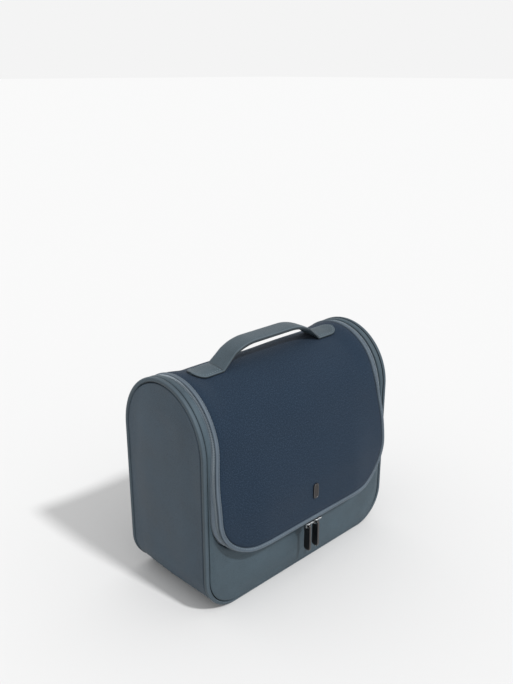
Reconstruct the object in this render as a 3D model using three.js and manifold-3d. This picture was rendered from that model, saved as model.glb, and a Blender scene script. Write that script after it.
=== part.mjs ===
// Shaving kit bag with an arched top and a zipped lid that wraps over it from the back.
// Millimetres. +X to the right, +Y to the back, +Z up; the origin is the middle of the base.
//
// The front, top and back are one girth that bends only about X, so every panel, band and zip
// strip on it is drawn unrolled: x across the bag, s along the girth from the bottom of the front
// (s = 0) up, over the arch and down the back, and lift outwards from that surface.
import * as THREE from 'three';
import Module from 'manifold-3d';

// ---- Driving dimensions -------------------------------------------------------------------------
const BAG_WIDTH = 260;
const BAG_DEPTH = 116;
const BAG_HEIGHT = 226;
const ARCH_RISE = 62;
const CORNER_RADIUS = 39;
const LEATHER = 1.6;
const LINING = 0.8;
const BOARD = 1.5;
const GAP = 0.3;
const LINING_GAP = 0.4;

const BAND_FACE = 3.6;
const BAND_SIDE = 3.4;

const ZIP_HALF_FRONT = 123.5;
const ZIP_HALF_TOP = 119.6;
const ZIP_BOTTOM = 57;
const ZIP_CORNER = 48;
const COIL_HALF = 1.6;
const COIL_THICK = 1.6;
const COIL_ROOM = 1.3;
const COIL_EDGE = 0.9;
const ZIP_REVEAL_FRONT = COIL_HALF + COIL_EDGE;
const ZIP_REVEAL_TOP = 2 * COIL_HALF + COIL_ROOM;
const SPREAD_LOW = 125;
const SPREAD_HIGH = 185;
const TAPE_THICK = 0.6;
const TAPE_SEAM = 4;
// The lid's tape reaches under the lid only where the zip's section is about this level.
const TAPE_LEVEL = 0.995;

const FLAP_BULGE = 17;
const FLAP_BULGE_SIDE = 10;
const BULGE_FLAT_HALF = 60;
const BULGE_FULL_BELOW = 95;
const BULGE_NONE_ABOVE = 190;
const LID_SAG = 3.4;
const SAG_BORDER = 26;
const SAG_NEAR = 30;
const SAG_FAR = 85;
const BINDING_WIDTH = 4;
const POCKET_LOW = 78;
const POCKET_HIGH = 150;
const POCKET_HALF = 92;
const POCKET_BINDING = 8;
const LID_POCKET_GAP = 1.4;

const STRAP_WIDTH = 23;
const STRAP_THICK = 3.6;
const STRAP_RISE = 13.5;
const STRAP_FLAT_HALF = 27;
const STRAP_FOOT = 67;
const STRAP_SPLIT = 52;
const TAB_END = 99;
const TAB_WIDTH = 25;
const TAB_THICK = 2;
const TAB_NOSE = 12;
// The handle sits a little in front of the crest.
const HANDLE_Y = -4.5;

const SLIDER_SPACING = 12;
const SLIDER_LENGTH = 10;
const SLIDER_DEPTH = 9;
const SLIDER_THICK = 1.8;
const SLIDER_CLEAR = 0.5;
const BAIL_LENGTH = 7;
const BAIL_DEPTH = 2.6;
const BAIL_WINDOW = 3.4;
const BAIL_THICK = 0.9;
const PULL_LENGTH = 30;
const PULL_WIDTH = 8;
const PULL_THICK = 2.6;
const PULL_EYE = 4;
const PULL_BAR = 1.5;

const BADGE_WIDTH = 7;
const BADGE_HEIGHT = 16;
const BADGE_THICK = 1;
const BADGE_CENTRE = 92;

const INNER_POCKET_HALF = 85;
const INNER_POCKET_LOW = 12;
const INNER_POCKET_HIGH = 92;
const INNER_POCKET_DEPTH = 10;
const INNER_POCKET_ELASTIC = 7;

const END_TAB_WIDTH = 8;
const END_TAB_HEIGHT = 15;
const HINGE_STRIP_HEIGHT = 14;

// How many steps each curved stretch is drawn in.
const FLAT_STEPS = 8;
const ARCH_STEPS = 22;
const CORNER_STEPS = 10;
const GUSSET_STEPS = 16;
const ZIP_CORNER_STEPS = 16;
const ZIP_BOTTOM_STEPS = 5;
const LID_COLUMNS = 10;
const LID_POCKET_ROWS = 8;
const STRAP_STEPS = 24;
const TAB_STEPS = 12;
const TAB_COLUMNS = 6;
const NOSE_STEPS = 8;

// ---- The girth ----------------------------------------------------------------------------------
const HALF_WIDTH = BAG_WIDTH / 2;
const HALF_DEPTH = BAG_DEPTH / 2;
const SPRING = BAG_HEIGHT - ARCH_RISE;

const girth = new THREE.Path();
girth.moveTo(-HALF_DEPTH, 0);
girth.lineTo(-HALF_DEPTH, SPRING);
girth.absellipse(0, SPRING, HALF_DEPTH, ARCH_RISE, Math.PI, 0, true);
girth.lineTo(HALF_DEPTH, 0);
const GIRTH_LENGTH = girth.getLength();
const HINGE_S = GIRTH_LENGTH - SPRING;
const CREST_S = GIRTH_LENGTH / 2;

// The point at x across, s along the girth and lift outwards from it.
function onGirth(x, s, lift) {
  const t = THREE.MathUtils.clamp(s / GIRTH_LENGTH, 0, 1);
  const point = girth.getPoint(t);
  const along = girth.getTangent(t);
  return new THREE.Vector3(x, point.x - along.y * lift, point.y + along.x * lift);
}

const lerp = THREE.MathUtils.lerp;
const smoothstep = THREE.MathUtils.smoothstep;

function steps(from, to, count) {
  return Array.from({ length: count + 1 }, (_, i) => lerp(from, to, i / count));
}

// Places along the girth between two heights: few on the flat faces, many round the arch.
function girthSteps(from, to) {
  return [...steps(from, SPRING, FLAT_STEPS), ...steps(SPRING, to, ARCH_STEPS).slice(1)];
}

// How far the lid sinks along its crest, between its two arched ends.
function sag(x, s) {
  const border = ZIP_HALF_TOP - ZIP_REVEAL_TOP - BINDING_WIDTH;
  const across = 1 - smoothstep(Math.abs(x), border - SAG_BORDER, border);
  const along = 1 - smoothstep(Math.abs(s - CREST_S), SAG_NEAR, SAG_FAR);
  return LID_SAG * across * along;
}

// How far the lid stands out from the girth: most along its lower middle, least at its sides.
function bulge(x, s) {
  const across = smoothstep(Math.abs(x), BULGE_FLAT_HALF, ZIP_HALF_FRONT);
  const down = 1 - smoothstep(s, BULGE_FULL_BELOW, BULGE_NONE_ABOVE);
  return down * lerp(FLAP_BULGE, FLAP_BULGE_SIDE, across) - sag(x, s);
}

// ---- Solids -------------------------------------------------------------------------------------
// A closed solid between two grids of points, outer and inner, that match row by row.
function shell(outer, inner) {
  const rows = outer.length;
  const columns = outer[0].length;
  const points = [...outer.flat(), ...inner.flat()];
  const at = (side, row, column) => (side * rows + row) * columns + column;
  const faces = [];
  const quad = (a, b, c, d) => faces.push(a, b, c, a, c, d);
  for (let r = 0; r + 1 < rows; r += 1) {
    for (let c = 0; c + 1 < columns; c += 1) {
      quad(at(0, r, c), at(0, r, c + 1), at(0, r + 1, c + 1), at(0, r + 1, c));
      quad(at(1, r, c), at(1, r + 1, c), at(1, r + 1, c + 1), at(1, r, c + 1));
    }
    const last = columns - 1;
    quad(at(0, r, 0), at(0, r + 1, 0), at(1, r + 1, 0), at(1, r, 0));
    quad(at(0, r, last), at(1, r, last), at(1, r + 1, last), at(0, r + 1, last));
  }
  for (let c = 0; c + 1 < columns; c += 1) {
    const last = rows - 1;
    quad(at(0, 0, c), at(1, 0, c), at(1, 0, c + 1), at(0, 0, c + 1));
    quad(at(0, last, c), at(0, last, c + 1), at(1, last, c + 1), at(1, last, c));
  }
  return facingOut(points, faces);
}

// Turns every triangle over if the faces enclose a negative volume.
function facingOut(points, faces) {
  let volume = 0;
  const normal = new THREE.Vector3();
  for (let i = 0; i < faces.length; i += 3) {
    normal.crossVectors(points[faces[i + 1]], points[faces[i + 2]]);
    volume += points[faces[i]].dot(normal);
  }
  const geometry = new THREE.BufferGeometry().setFromPoints(points);
  geometry.setIndex(volume > 0 ? faces : faces.reverse());
  geometry.computeVertexNormals();
  return geometry;
}

const manifold = await Module();
manifold.setup();

// A box geometry as a solid that can be cut.
function boxSolid(low, high) {
  const size = new THREE.Vector3().subVectors(high, low);
  const middle = new THREE.Vector3().addVectors(high, low).multiplyScalar(0.5);
  const box = new THREE.BoxGeometry(size.x, size.y, size.z).translate(middle.x, middle.y, middle.z);
  const merged = mergedPositions(box);
  return new manifold.Manifold(new manifold.Mesh({
    numProp: 3,
    vertProperties: merged.positions,
    triVerts: merged.triangles,
  }));
}

// The box has its corners three times over; this keeps each one once.
function mergedPositions(geometry) {
  const source = geometry.getAttribute('position');
  const seen = new Map();
  const positions = [];
  const triangles = [];
  for (const vertex of geometry.index.array) {
    const corner = [source.getX(vertex), source.getY(vertex), source.getZ(vertex)];
    const key = corner.map((value) => value.toFixed(5)).join();
    if (!seen.has(key)) {
      seen.set(key, seen.size);
      positions.push(...corner);
    }
    triangles.push(seen.get(key));
  }
  return { positions: new Float32Array(positions), triangles: new Uint32Array(triangles) };
}

function geometryOf(solid) {
  const mesh = solid.getMesh();
  const geometry = new THREE.BufferGeometry();
  geometry.setAttribute('position', new THREE.BufferAttribute(mesh.vertProperties, 3));
  geometry.setIndex(new THREE.BufferAttribute(mesh.triVerts, 1));
  geometry.computeVertexNormals();
  return geometry;
}

// A flat plate with its outline in X and Z, between two places in Y.
function uprightPlate(shape, front, back) {
  const plate = new THREE.ExtrudeGeometry(shape, { depth: back - front, bevelEnabled: false });
  return plate.rotateX(Math.PI / 2).translate(0, back, 0);
}

// A rectangle with its two lower corners rounded, in X and Z.
function roundBottomed(half, low, high, radius) {
  const shape = new THREE.Shape();
  shape.moveTo(-half, high);
  shape.lineTo(-half, low + radius);
  shape.absarc(-half + radius, low + radius, radius, Math.PI, Math.PI * 1.5, false);
  shape.lineTo(half - radius, low);
  shape.absarc(half - radius, low + radius, radius, Math.PI * 1.5, Math.PI * 2, false);
  shape.lineTo(half, high);
  shape.closePath();
  return shape;
}

// ---- Materials ----------------------------------------------------------------------------------
const finishes = {
  leather: { color: 0x526169, roughness: 0.62, metalness: 0 },
  gusset: { color: 0x46535b, roughness: 0.66, metalness: 0 },
  edging: { color: 0x66757e, roughness: 0.55, metalness: 0 },
  cloth: { color: 0x303f52, roughness: 0.92, metalness: 0 },
  lining: { color: 0x2b3440, roughness: 0.85, metalness: 0 },
  board: { color: 0x23282d, roughness: 0.8, metalness: 0 },
  mesh: { color: 0x39444f, roughness: 0.8, metalness: 0 },
  tape: { color: 0x4d5a64, roughness: 0.85, metalness: 0 },
  coil: { color: 0x59646c, roughness: 0.5, metalness: 0 },
  slider: { color: 0x8e9296, roughness: 0.28, metalness: 1 },
  gunmetal: { color: 0x2a2b2d, roughness: 0.32, metalness: 1 },
};

const bag = new THREE.Group();

function add(name, finish, geometry) {
  const mesh = new THREE.Mesh(geometry, new THREE.MeshStandardMaterial(finishes[finish]));
  mesh.name = name;
  bag.add(mesh);
  return mesh;
}

const SIDES = [['left', -1], ['right', 1]];

// ---- Outer case ---------------------------------------------------------------------------------
// The edge band runs along the outline of the front, over the arch and along that of the back.
// Half of the loop, from the middle of the front's bottom edge to the middle of the back's.
function edgeLine(side) {
  const centre = HALF_WIDTH - CORNER_RADIUS;
  const line = [{ x: side * GAP / 2, s: 0, ax: 0, as: 1 }];
  for (const turn of steps(0, Math.PI / 2, CORNER_STEPS)) {
    const outX = Math.sin(turn);
    const outS = -Math.cos(turn);
    line.push({
      x: side * (centre + CORNER_RADIUS * outX),
      s: CORNER_RADIUS * (1 + outS),
      ax: -side * outX,
      as: -outS,
    });
  }
  const climb = girthSteps(CORNER_RADIUS, HINGE_S).slice(1);
  line.push(...climb.map((s) => ({ x: side * HALF_WIDTH, s, ax: -side, as: 0 })));
  const front = line.filter((station) => station.s < SPRING);
  line.push(...front.reverse().map((station) => (
    { ...station, s: GIRTH_LENGTH - station.s, as: -station.as }
  )));
  return line;
}

// The place a inwards from a station of a line on the unrolled girth.
function beside(station, a, lift) {
  return onGirth(station.x + a * station.ax, station.s + a * station.as, lift);
}

for (const [name, side] of SIDES) {
  const line = edgeLine(side);
  const outer = line.map((station) => [beside(station, 0, 0), beside(station, BAND_FACE, 0)]);
  const inner = line.map((station) => [
    beside(station, 0, -BAND_SIDE),
    beside(station, BAND_FACE, -BAND_SIDE),
  ]);
  add(`edge_band_${name}`, 'edging', shell(outer, inner));
}

// A side wall that turns under the bag along its rounded corner. inset is its distance inside the
// width, edge its distance inside the girth.
function sideWall(side, inset, edge, thick) {
  const halfDepth = HALF_DEPTH - edge;
  const rise = ARCH_RISE - edge;
  const centreX = HALF_WIDTH - CORNER_RADIUS;
  const outerRadius = CORNER_RADIUS - inset;
  const stations = steps(0, Math.PI / 2, CORNER_STEPS).map((turn) => ({
    outX: Math.sin(turn), z: -Math.cos(turn), lift: CORNER_RADIUS, halfDepth,
  }));
  stations.push({ outX: 1, z: 0, lift: SPRING, halfDepth });
  for (const turn of steps(0, Math.PI / 2, GUSSET_STEPS).slice(1, -1)) {
    stations.push({
      outX: 1, z: 0, lift: SPRING + rise * Math.sin(turn), halfDepth: halfDepth * Math.cos(turn),
    });
  }
  const skin = (radius) => stations.map(({ outX, z, lift, halfDepth: half }) => (
    steps(-half, half, 1).map((y) => (
      new THREE.Vector3(side * (centreX + radius * outX), y, lift + radius * z)
    ))
  ));
  return shell(skin(outerRadius), skin(outerRadius - thick));
}

const GUSSET_EDGE = BAND_SIDE + GAP;
for (const [name, side] of SIDES) {
  add(`side_gusset_${name}`, 'gusset', sideWall(side, 0, GUSSET_EDGE, LEATHER));
}

const BASE_HALF = HALF_WIDTH - CORNER_RADIUS - GAP;
const basePlate = (half, depth, low, thick) => (
  new THREE.BoxGeometry(2 * half, 2 * depth, thick).translate(0, 0, low + thick / 2)
);
add('base_panel', 'gusset', basePlate(BASE_HALF, HALF_DEPTH - GUSSET_EDGE, 0, LEATHER));

const PANEL_EDGE = BAND_FACE + GAP;
const PANEL_HALF = HALF_WIDTH - PANEL_EDGE;
const PANEL_RADIUS = CORNER_RADIUS - PANEL_EDGE;
const backShape = roundBottomed(PANEL_HALF, PANEL_EDGE, SPRING - GAP, PANEL_RADIUS);
add('back_panel', 'leather', uprightPlate(backShape, HALF_DEPTH - LEATHER, HALF_DEPTH));

// ---- The zip line -------------------------------------------------------------------------------
// How far the zip has turned from lying on the arch (1) to facing sideways on the front (0).
const lieFlat = (s) => smoothstep(s, SPREAD_LOW, SPREAD_HIGH);
const zipHalf = (s) => lerp(ZIP_HALF_FRONT, ZIP_HALF_TOP, lieFlat(s));
const zipReveal = (s) => lerp(ZIP_REVEAL_FRONT, ZIP_REVEAL_TOP, lieFlat(s));

// The case's edge of the zip: a U from the hinge's right end, round the front, to its left end.
// outer is the matching place on the front panel's outer edge.
function zipLine() {
  const half = [];
  const cornerX = ZIP_HALF_FRONT - ZIP_CORNER;
  const cornerS = ZIP_BOTTOM + ZIP_CORNER;
  for (const s of girthSteps(cornerS, HINGE_S - GAP).reverse()) {
    half.push({ x: zipHalf(s), s, ax: -1, as: 0, outerX: PANEL_HALF, outerS: s });
  }
  const outline = panelCorner(cornerX, cornerS);
  const turns = steps(0, Math.PI / 2, ZIP_CORNER_STEPS).slice(1);
  turns.forEach((turn, index) => {
    const outer = outline.getPoint((index + 1) / turns.length);
    half.push({
      x: cornerX + ZIP_CORNER * Math.cos(turn),
      s: cornerS - ZIP_CORNER * Math.sin(turn),
      ax: -Math.cos(turn),
      as: Math.sin(turn),
      outerX: outer.x,
      outerS: outer.y,
    });
  });
  half.push(...steps(cornerX, 0, ZIP_BOTTOM_STEPS).slice(1).map((x) => (
    { x, s: ZIP_BOTTOM, ax: 0, as: 1, outerX: x, outerS: PANEL_EDGE }
  )));
  const mirrored = half.slice(0, -1).reverse();
  return [...half, ...mirrored.map((place) => (
    { ...place, x: -place.x, ax: -place.ax, outerX: -place.outerX }
  ))];
}

// The front panel's outer edge beside the zip's corner: down, round its own corner, and along.
function panelCorner(endX, startS) {
  const outline = new THREE.Path();
  outline.moveTo(PANEL_HALF, startS);
  outline.lineTo(PANEL_HALF, CORNER_RADIUS);
  outline.absarc(PANEL_HALF - PANEL_RADIUS, CORNER_RADIUS, PANEL_RADIUS, 0, -Math.PI / 2, true);
  outline.lineTo(endX, PANEL_EDGE);
  return outline;
}

const zip = zipLine();

const frontSkin = (lift) => zip.map((place) => [
  onGirth(place.outerX, place.outerS, lift),
  onGirth(place.x, place.s, lift),
]);
add('front_panel', 'leather', shell(frontSkin(0), frontSkin(-LEATHER)));

// The section of the zip at one place: a straight run from the case's edge to the lid's edge, in
// a (inwards along the girth) and lift. across is the unit step along it, out its outer side.
function zipSection(place) {
  const flat = lieFlat(place.s);
  const reveal = zipReveal(place.s);
  const from = new THREE.Vector2(GAP, -LEATHER / 2);
  const edgeX = place.x + reveal * place.ax;
  const edgeS = place.s + reveal * place.as;
  const lidLift = bulge(edgeX, edgeS) - lerp(LEATHER + LINING_GAP, LEATHER / 2, flat);
  const to = new THREE.Vector2(reveal - GAP, lidLift);
  const across = new THREE.Vector2().subVectors(to, from);
  const length = across.length();
  across.normalize();
  const out = new THREE.Vector2(-across.y, across.x);
  return { from, across, out, length, middle: length - COIL_HALF - GAP / 2 };
}

// A strip of the zip from one distance along its section to another, between two heights on it.
function zipStrip(start, end, low, high) {
  const skin = (height) => zip.map((place) => {
    const section = zipSection(place);
    return [start(section), end(section)].map((distance) => {
      const spot = section.from.clone();
      spot.addScaledVector(section.across, distance).addScaledVector(section.out, height);
      return beside(place, spot.x, spot.y);
    });
  });
  return shell(skin(high), skin(low));
}

const COIL_TOP = COIL_THICK / 2;
const TAPE_TOP = -COIL_TOP - GAP;
const TAPE_LOW = TAPE_TOP - TAPE_THICK;
const HALF_GAP = GAP / 2;
const coilCase = zipStrip(
  (section) => section.middle - COIL_HALF,
  (section) => section.middle - HALF_GAP,
  -COIL_TOP,
  COIL_TOP,
);
const coilLid = zipStrip(
  (section) => section.middle + HALF_GAP,
  (section) => section.middle + COIL_HALF,
  -COIL_TOP,
  COIL_TOP,
);
const tapeCase = zipStrip(
  () => -TAPE_SEAM,
  (section) => section.middle - HALF_GAP,
  TAPE_LOW,
  TAPE_TOP,
);
// The lid's tape is sewn under the lid where the zip lies flat, and ends at its edge elsewhere.
const tapeLid = zipStrip(
  (section) => section.middle + HALF_GAP,
  (section) => section.length + TAPE_SEAM * smoothstep(section.across.x, TAPE_LEVEL, 1),
  TAPE_LOW,
  TAPE_TOP,
);
add('zip_tape_case', 'tape', tapeCase);
add('zip_coil_case', 'coil', coilCase);

// Leather patches over the ends of the case's half of the zip, clear of the lid's half when it swings.
for (const [name, side] of SIDES) {
  const inner = ZIP_HALF_TOP - ZIP_REVEAL_TOP + COIL_HALF + 3 * GAP;
  const patch = new THREE.BoxGeometry(END_TAB_WIDTH, LEATHER, END_TAB_HEIGHT);
  patch.translate(
    side * (inner + END_TAB_WIDTH / 2),
    HALF_DEPTH + GAP + LEATHER / 2,
    SPRING - 2 * GAP - END_TAB_HEIGHT / 2,
  );
  add(`zip_end_tab_${name}`, 'leather', patch);
}

// ---- Inside the case ----------------------------------------------------------------------------
const LINING_INSET = LEATHER + LINING_GAP;
const LINING_EDGE = HALF_DEPTH - GUSSET_EDGE;
const liningEdge = GUSSET_EDGE + 2 * LINING;
for (const [name, side] of SIDES) {
  add(`lining_${name}`, 'lining', sideWall(side, LINING_INSET, liningEdge, LINING));
}

const BOARD_LOW = LEATHER + LINING_GAP;
const LINING_BASE_LOW = BOARD_LOW + BOARD + LINING_GAP;
const boardHalf = BASE_HALF - LINING_GAP;
add('base_board', 'board', basePlate(boardHalf, LINING_EDGE - liningEdge, BOARD_LOW, BOARD));
add('lining_base', 'lining', basePlate(boardHalf, LINING_EDGE - liningEdge, LINING_BASE_LOW, LINING));

const HINGE_STRIP_BACK = HALF_DEPTH - LEATHER - LINING_GAP;
const LINING_BACK = HINGE_STRIP_BACK - BOARD - LINING_GAP;
const stripTop = SPRING - 2 * GAP;
const stripShape = new THREE.Shape();
const stripHalf = ZIP_HALF_TOP - ZIP_REVEAL_TOP - LINING_GAP;
stripShape.moveTo(-stripHalf, stripTop - HINGE_STRIP_HEIGHT);
stripShape.lineTo(stripHalf, stripTop - HINGE_STRIP_HEIGHT);
stripShape.lineTo(stripHalf, stripTop);
stripShape.lineTo(-stripHalf, stripTop);
stripShape.closePath();
add('hinge_strip', 'board', uprightPlate(stripShape, HINGE_STRIP_BACK - BOARD, HINGE_STRIP_BACK));

const LINING_SIDE = PANEL_EDGE + LINING_GAP;
const liningHalf = HALF_WIDTH - LINING_SIDE;
const liningRadius = CORNER_RADIUS - LINING_SIDE;
const liningLow = Math.max(LINING_SIDE, LINING_BASE_LOW + LINING + LINING_GAP);
const liningBackShape = roundBottomed(liningHalf, liningLow, stripTop, liningRadius);
add('lining_back', 'lining', uprightPlate(liningBackShape, LINING_BACK - LINING, LINING_BACK));
const frontInside = HALF_DEPTH - LEATHER - LINING_GAP;
const liningFrontShape = roundBottomed(liningHalf, liningLow, ZIP_BOTTOM - GAP, liningRadius);
add('lining_front', 'lining', uprightPlate(liningFrontShape, -frontInside, -frontInside + LINING));

// The inner pocket is a shallow tray sewn to the back lining, open at its top.
const pocketBack = LINING_BACK - LINING - GAP;
const pocketFront = pocketBack - INNER_POCKET_DEPTH;
const trayLow = new THREE.Vector3(-INNER_POCKET_HALF, pocketFront, INNER_POCKET_LOW);
const trayHigh = new THREE.Vector3(INNER_POCKET_HALF, pocketBack, INNER_POCKET_HIGH);
const wall = new THREE.Vector3(LINING, LINING, LINING);
const cutLow = trayLow.clone().add(wall);
const cutHigh = new THREE.Vector3(
  INNER_POCKET_HALF - LINING,
  pocketBack + LINING,
  INNER_POCKET_HIGH + LINING,
);
const tray = boxSolid(trayLow, trayHigh).subtract(boxSolid(cutLow, cutHigh));
add('inner_pocket', 'mesh', geometryOf(tray));
const elasticLow = new THREE.Vector3(
  -INNER_POCKET_HALF,
  pocketFront - GAP - LEATHER,
  INNER_POCKET_HIGH - INNER_POCKET_ELASTIC,
);
const elasticHigh = new THREE.Vector3(INNER_POCKET_HALF, pocketFront - GAP, INNER_POCKET_HIGH);
add('inner_pocket_elastic', 'edging', geometryOf(boxSolid(elasticLow, elasticHigh)));

// ---- Lid ----------------------------------------------------------------------------------------
// The half width of the lid at s, margin inside its edge: upright sides and rounded lower corners.
function lidHalf(s, margin) {
  const half = zipHalf(s) - zipReveal(s) - margin;
  const radius = ZIP_CORNER - ZIP_REVEAL_FRONT - margin;
  const centre = ZIP_BOTTOM + ZIP_CORNER;
  const below = THREE.MathUtils.clamp((centre - s) / radius, 0, 1);
  return half - radius * (1 - Math.sqrt(1 - below * below));
}

// A sheet of the lid between two lifts, margin inside its edge, that follows the lid's bulge.
function lidSheet(margin, top, thick) {
  const radius = ZIP_CORNER - ZIP_REVEAL_FRONT - margin;
  const centre = ZIP_BOTTOM + ZIP_CORNER;
  const turns = steps(Math.PI / 2, 0, CORNER_STEPS);
  const corner = turns.map((turn) => centre - radius * Math.sin(turn));
  const rows = [...corner, ...girthSteps(centre, HINGE_S - GAP).slice(1)];
  const skin = (lift) => rows.map((s) => (
    steps(-1, 1, LID_COLUMNS).map((share) => {
      const x = share * lidHalf(s, margin);
      return onGirth(x, s, lift + bulge(x, s));
    })
  ));
  return shell(skin(top), skin(top - thick));
}

const CLOTH_MARGIN = BINDING_WIDTH + GAP;
add('flap_panel', 'cloth', lidSheet(CLOTH_MARGIN, 0, LEATHER));

const bindingSkin = (depth) => zip.map((place) => {
  const reveal = zipReveal(place.s);
  return [reveal, reveal + BINDING_WIDTH].map((a) => {
    const x = place.x + a * place.ax;
    const s = place.s + a * place.as;
    return onGirth(x, s, bulge(x, s) - depth);
  });
});
add('flap_binding', 'edging', shell(bindingSkin(0), bindingSkin(LEATHER)));

add('zip_tape_flap', 'tape', tapeLid);
add('zip_coil_flap', 'coil', coilLid);

const LID_LINING_TOP = -LEATHER / 2 + TAPE_LOW - LINING_GAP;
add('flap_lining', 'lining', lidSheet(CLOTH_MARGIN + TAPE_SEAM, LID_LINING_TOP, LINING));

// A flat sheet on the inside of the lid's front, between two heights.
function lidPatch(low, high, half, top, thick) {
  const skin = (lift) => steps(low, high, LID_POCKET_ROWS).map((s) => (
    steps(-half, half, LID_COLUMNS).map((x) => onGirth(x, s, lift + bulge(x, s)))
  ));
  return shell(skin(top), skin(top - thick));
}

const LID_POCKET_TOP = LID_LINING_TOP - LINING - LID_POCKET_GAP;
const pocketCloth = lidPatch(POCKET_LOW, POCKET_HIGH, POCKET_HALF, LID_POCKET_TOP, LINING);
add('flap_pocket', 'mesh', pocketCloth);
const bindingTop = POCKET_HIGH + GAP + POCKET_BINDING;
const pocketHem = lidPatch(POCKET_HIGH + GAP, bindingTop, POCKET_HALF, LID_POCKET_TOP, LEATHER);
add('flap_pocket_binding', 'edging', pocketHem);

const badgeSkin = (lift) => [-1, 1].map((up) => [-1, 1].map((across) => {
  const x = across * BADGE_WIDTH / 2;
  const s = BADGE_CENTRE + up * BADGE_HEIGHT / 2;
  return onGirth(x, s, lift + bulge(x, s));
}));
add('badge', 'gunmetal', shell(badgeSkin(GAP + BADGE_THICK), badgeSkin(GAP)));

// ---- Handle -------------------------------------------------------------------------------------
// The height of the strap's underside above the crest.
const strapLift = (x) => STRAP_RISE * (1 - smoothstep(Math.abs(x), STRAP_FLAT_HALF, STRAP_FOOT));

const strapSkin = (thick) => (
  steps(-STRAP_SPLIT + HALF_GAP, STRAP_SPLIT - HALF_GAP, STRAP_STEPS).map((x) => (
    [-1, 1].map((across) => new THREE.Vector3(
      x,
      HANDLE_Y + across * STRAP_WIDTH / 2,
      BAG_HEIGHT + strapLift(x) + thick,
    ))
  ))
);
add('handle_strap', 'leather', shell(strapSkin(STRAP_THICK), strapSkin(0)));

// The half width of a handle end: as the strap where it rises, wide on the lid, and a round nose.
function tabHalf(x) {
  const wide = lerp(STRAP_WIDTH, TAB_WIDTH, smoothstep(x, STRAP_SPLIT + TAB_NOSE / 2, STRAP_FOOT));
  const nose = THREE.MathUtils.clamp((x - TAB_END + TAB_NOSE) / TAB_NOSE, 0, 1);
  return wide / 2 * Math.sqrt(1 - nose * nose);
}

for (const [name, side] of SIDES) {
  const nose = steps(0, Math.PI / 2, NOSE_STEPS).slice(1, -1);
  const rows = [
    ...steps(STRAP_SPLIT + HALF_GAP, TAB_END - TAB_NOSE, TAB_STEPS),
    ...nose.map((turn) => TAB_END - TAB_NOSE * (1 - Math.sin(turn))),
  ];
  const skin = (lift) => rows.map((x) => steps(-1, 1, TAB_COLUMNS).map((across) => {
    const reach = HANDLE_Y + across * tabHalf(x);
    const s = CREST_S + reach;
    const point = onGirth(side * x, s, lift + strapLift(x) - sag(x, s));
    const flatness = strapLift(x) / strapLift(STRAP_SPLIT);
    const level = BAG_HEIGHT + strapLift(x) + lift;
    return new THREE.Vector3(point.x, lerp(point.y, reach, flatness), lerp(point.z, level, flatness));
  }));
  add(`handle_tab_${name}`, 'leather', shell(skin(GAP + TAB_THICK), skin(GAP)));
}

// ---- Zip sliders and pulls ----------------------------------------------------------------------
// The coil's outer face under the middle of the lid, which the sliders hang below.
const middlePlace = zip.find((place) => Math.abs(place.x) < 1e-6);
const middleSection = zipSection(middlePlace);
const coilSpot = middleSection.from.clone();
coilSpot.addScaledVector(middleSection.across, middleSection.middle);
coilSpot.addScaledVector(middleSection.out, COIL_TOP);
const coilFace = beside(middlePlace, coilSpot.x, coilSpot.y);
const SLIDER_TOP = coilFace.z - SLIDER_CLEAR;
const SLIDER_LOW = SLIDER_TOP - SLIDER_THICK;

// A rectangle with a smaller one cut out of it, both centred on u.
function framed(halfU, low, high, holeHalfU, holeLow, holeHigh) {
  const shape = new THREE.Shape();
  shape.moveTo(-halfU, low);
  shape.lineTo(halfU, low);
  shape.lineTo(halfU, high);
  shape.lineTo(-halfU, high);
  shape.closePath();
  const hole = new THREE.Path();
  hole.moveTo(-holeHalfU, holeLow);
  hole.lineTo(-holeHalfU, holeHigh);
  hole.lineTo(holeHalfU, holeHigh);
  hole.lineTo(holeHalfU, holeLow);
  hole.closePath();
  shape.holes.push(hole);
  return shape;
}

for (const [name, side] of SIDES) {
  const x = side * SLIDER_SPACING / 2;
  const body = new THREE.BoxGeometry(SLIDER_LENGTH, SLIDER_DEPTH, SLIDER_THICK);
  body.translate(x, coilFace.y, SLIDER_LOW + SLIDER_THICK / 2);
  add(`slider_${name}`, 'slider', body);

  const bailTop = SLIDER_LOW - GAP;
  const bailLow = bailTop - BAIL_WINDOW - 2 * BAIL_THICK;
  const bailShape = framed(
    BAIL_LENGTH / 2, bailLow, bailTop,
    BAIL_LENGTH / 2 - BAIL_THICK, bailLow + BAIL_THICK, bailTop - BAIL_THICK,
  );
  const bail = uprightPlate(bailShape, coilFace.y - BAIL_DEPTH / 2, coilFace.y + BAIL_DEPTH / 2);
  add(`slider_bail_${name}`, 'slider', bail.translate(x, 0, 0));

  const pivot = (bailLow + bailTop) / 2;
  const pullTop = pivot + PULL_BAR / 2;
  const pullShape = framed(
    PULL_WIDTH / 2, pullTop - PULL_LENGTH, pullTop,
    PULL_EYE / 2, pullTop - PULL_BAR - PULL_EYE, pullTop - PULL_BAR,
  );
  const pull = new THREE.ExtrudeGeometry(pullShape, { depth: PULL_THICK, bevelEnabled: false });
  pull.translate(0, 0, -PULL_THICK / 2).rotateX(Math.PI / 2).rotateZ(Math.PI / 2);
  add(`pull_${name}`, 'gunmetal', pull.translate(x, coilFace.y, 0));
}

export default bag;
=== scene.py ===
"""Looks of a shaving kit bag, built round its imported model. Sizes here are millimetres; meshes are metres."""
import logging
import math
from dataclasses import dataclass
from enum import Enum

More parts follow.
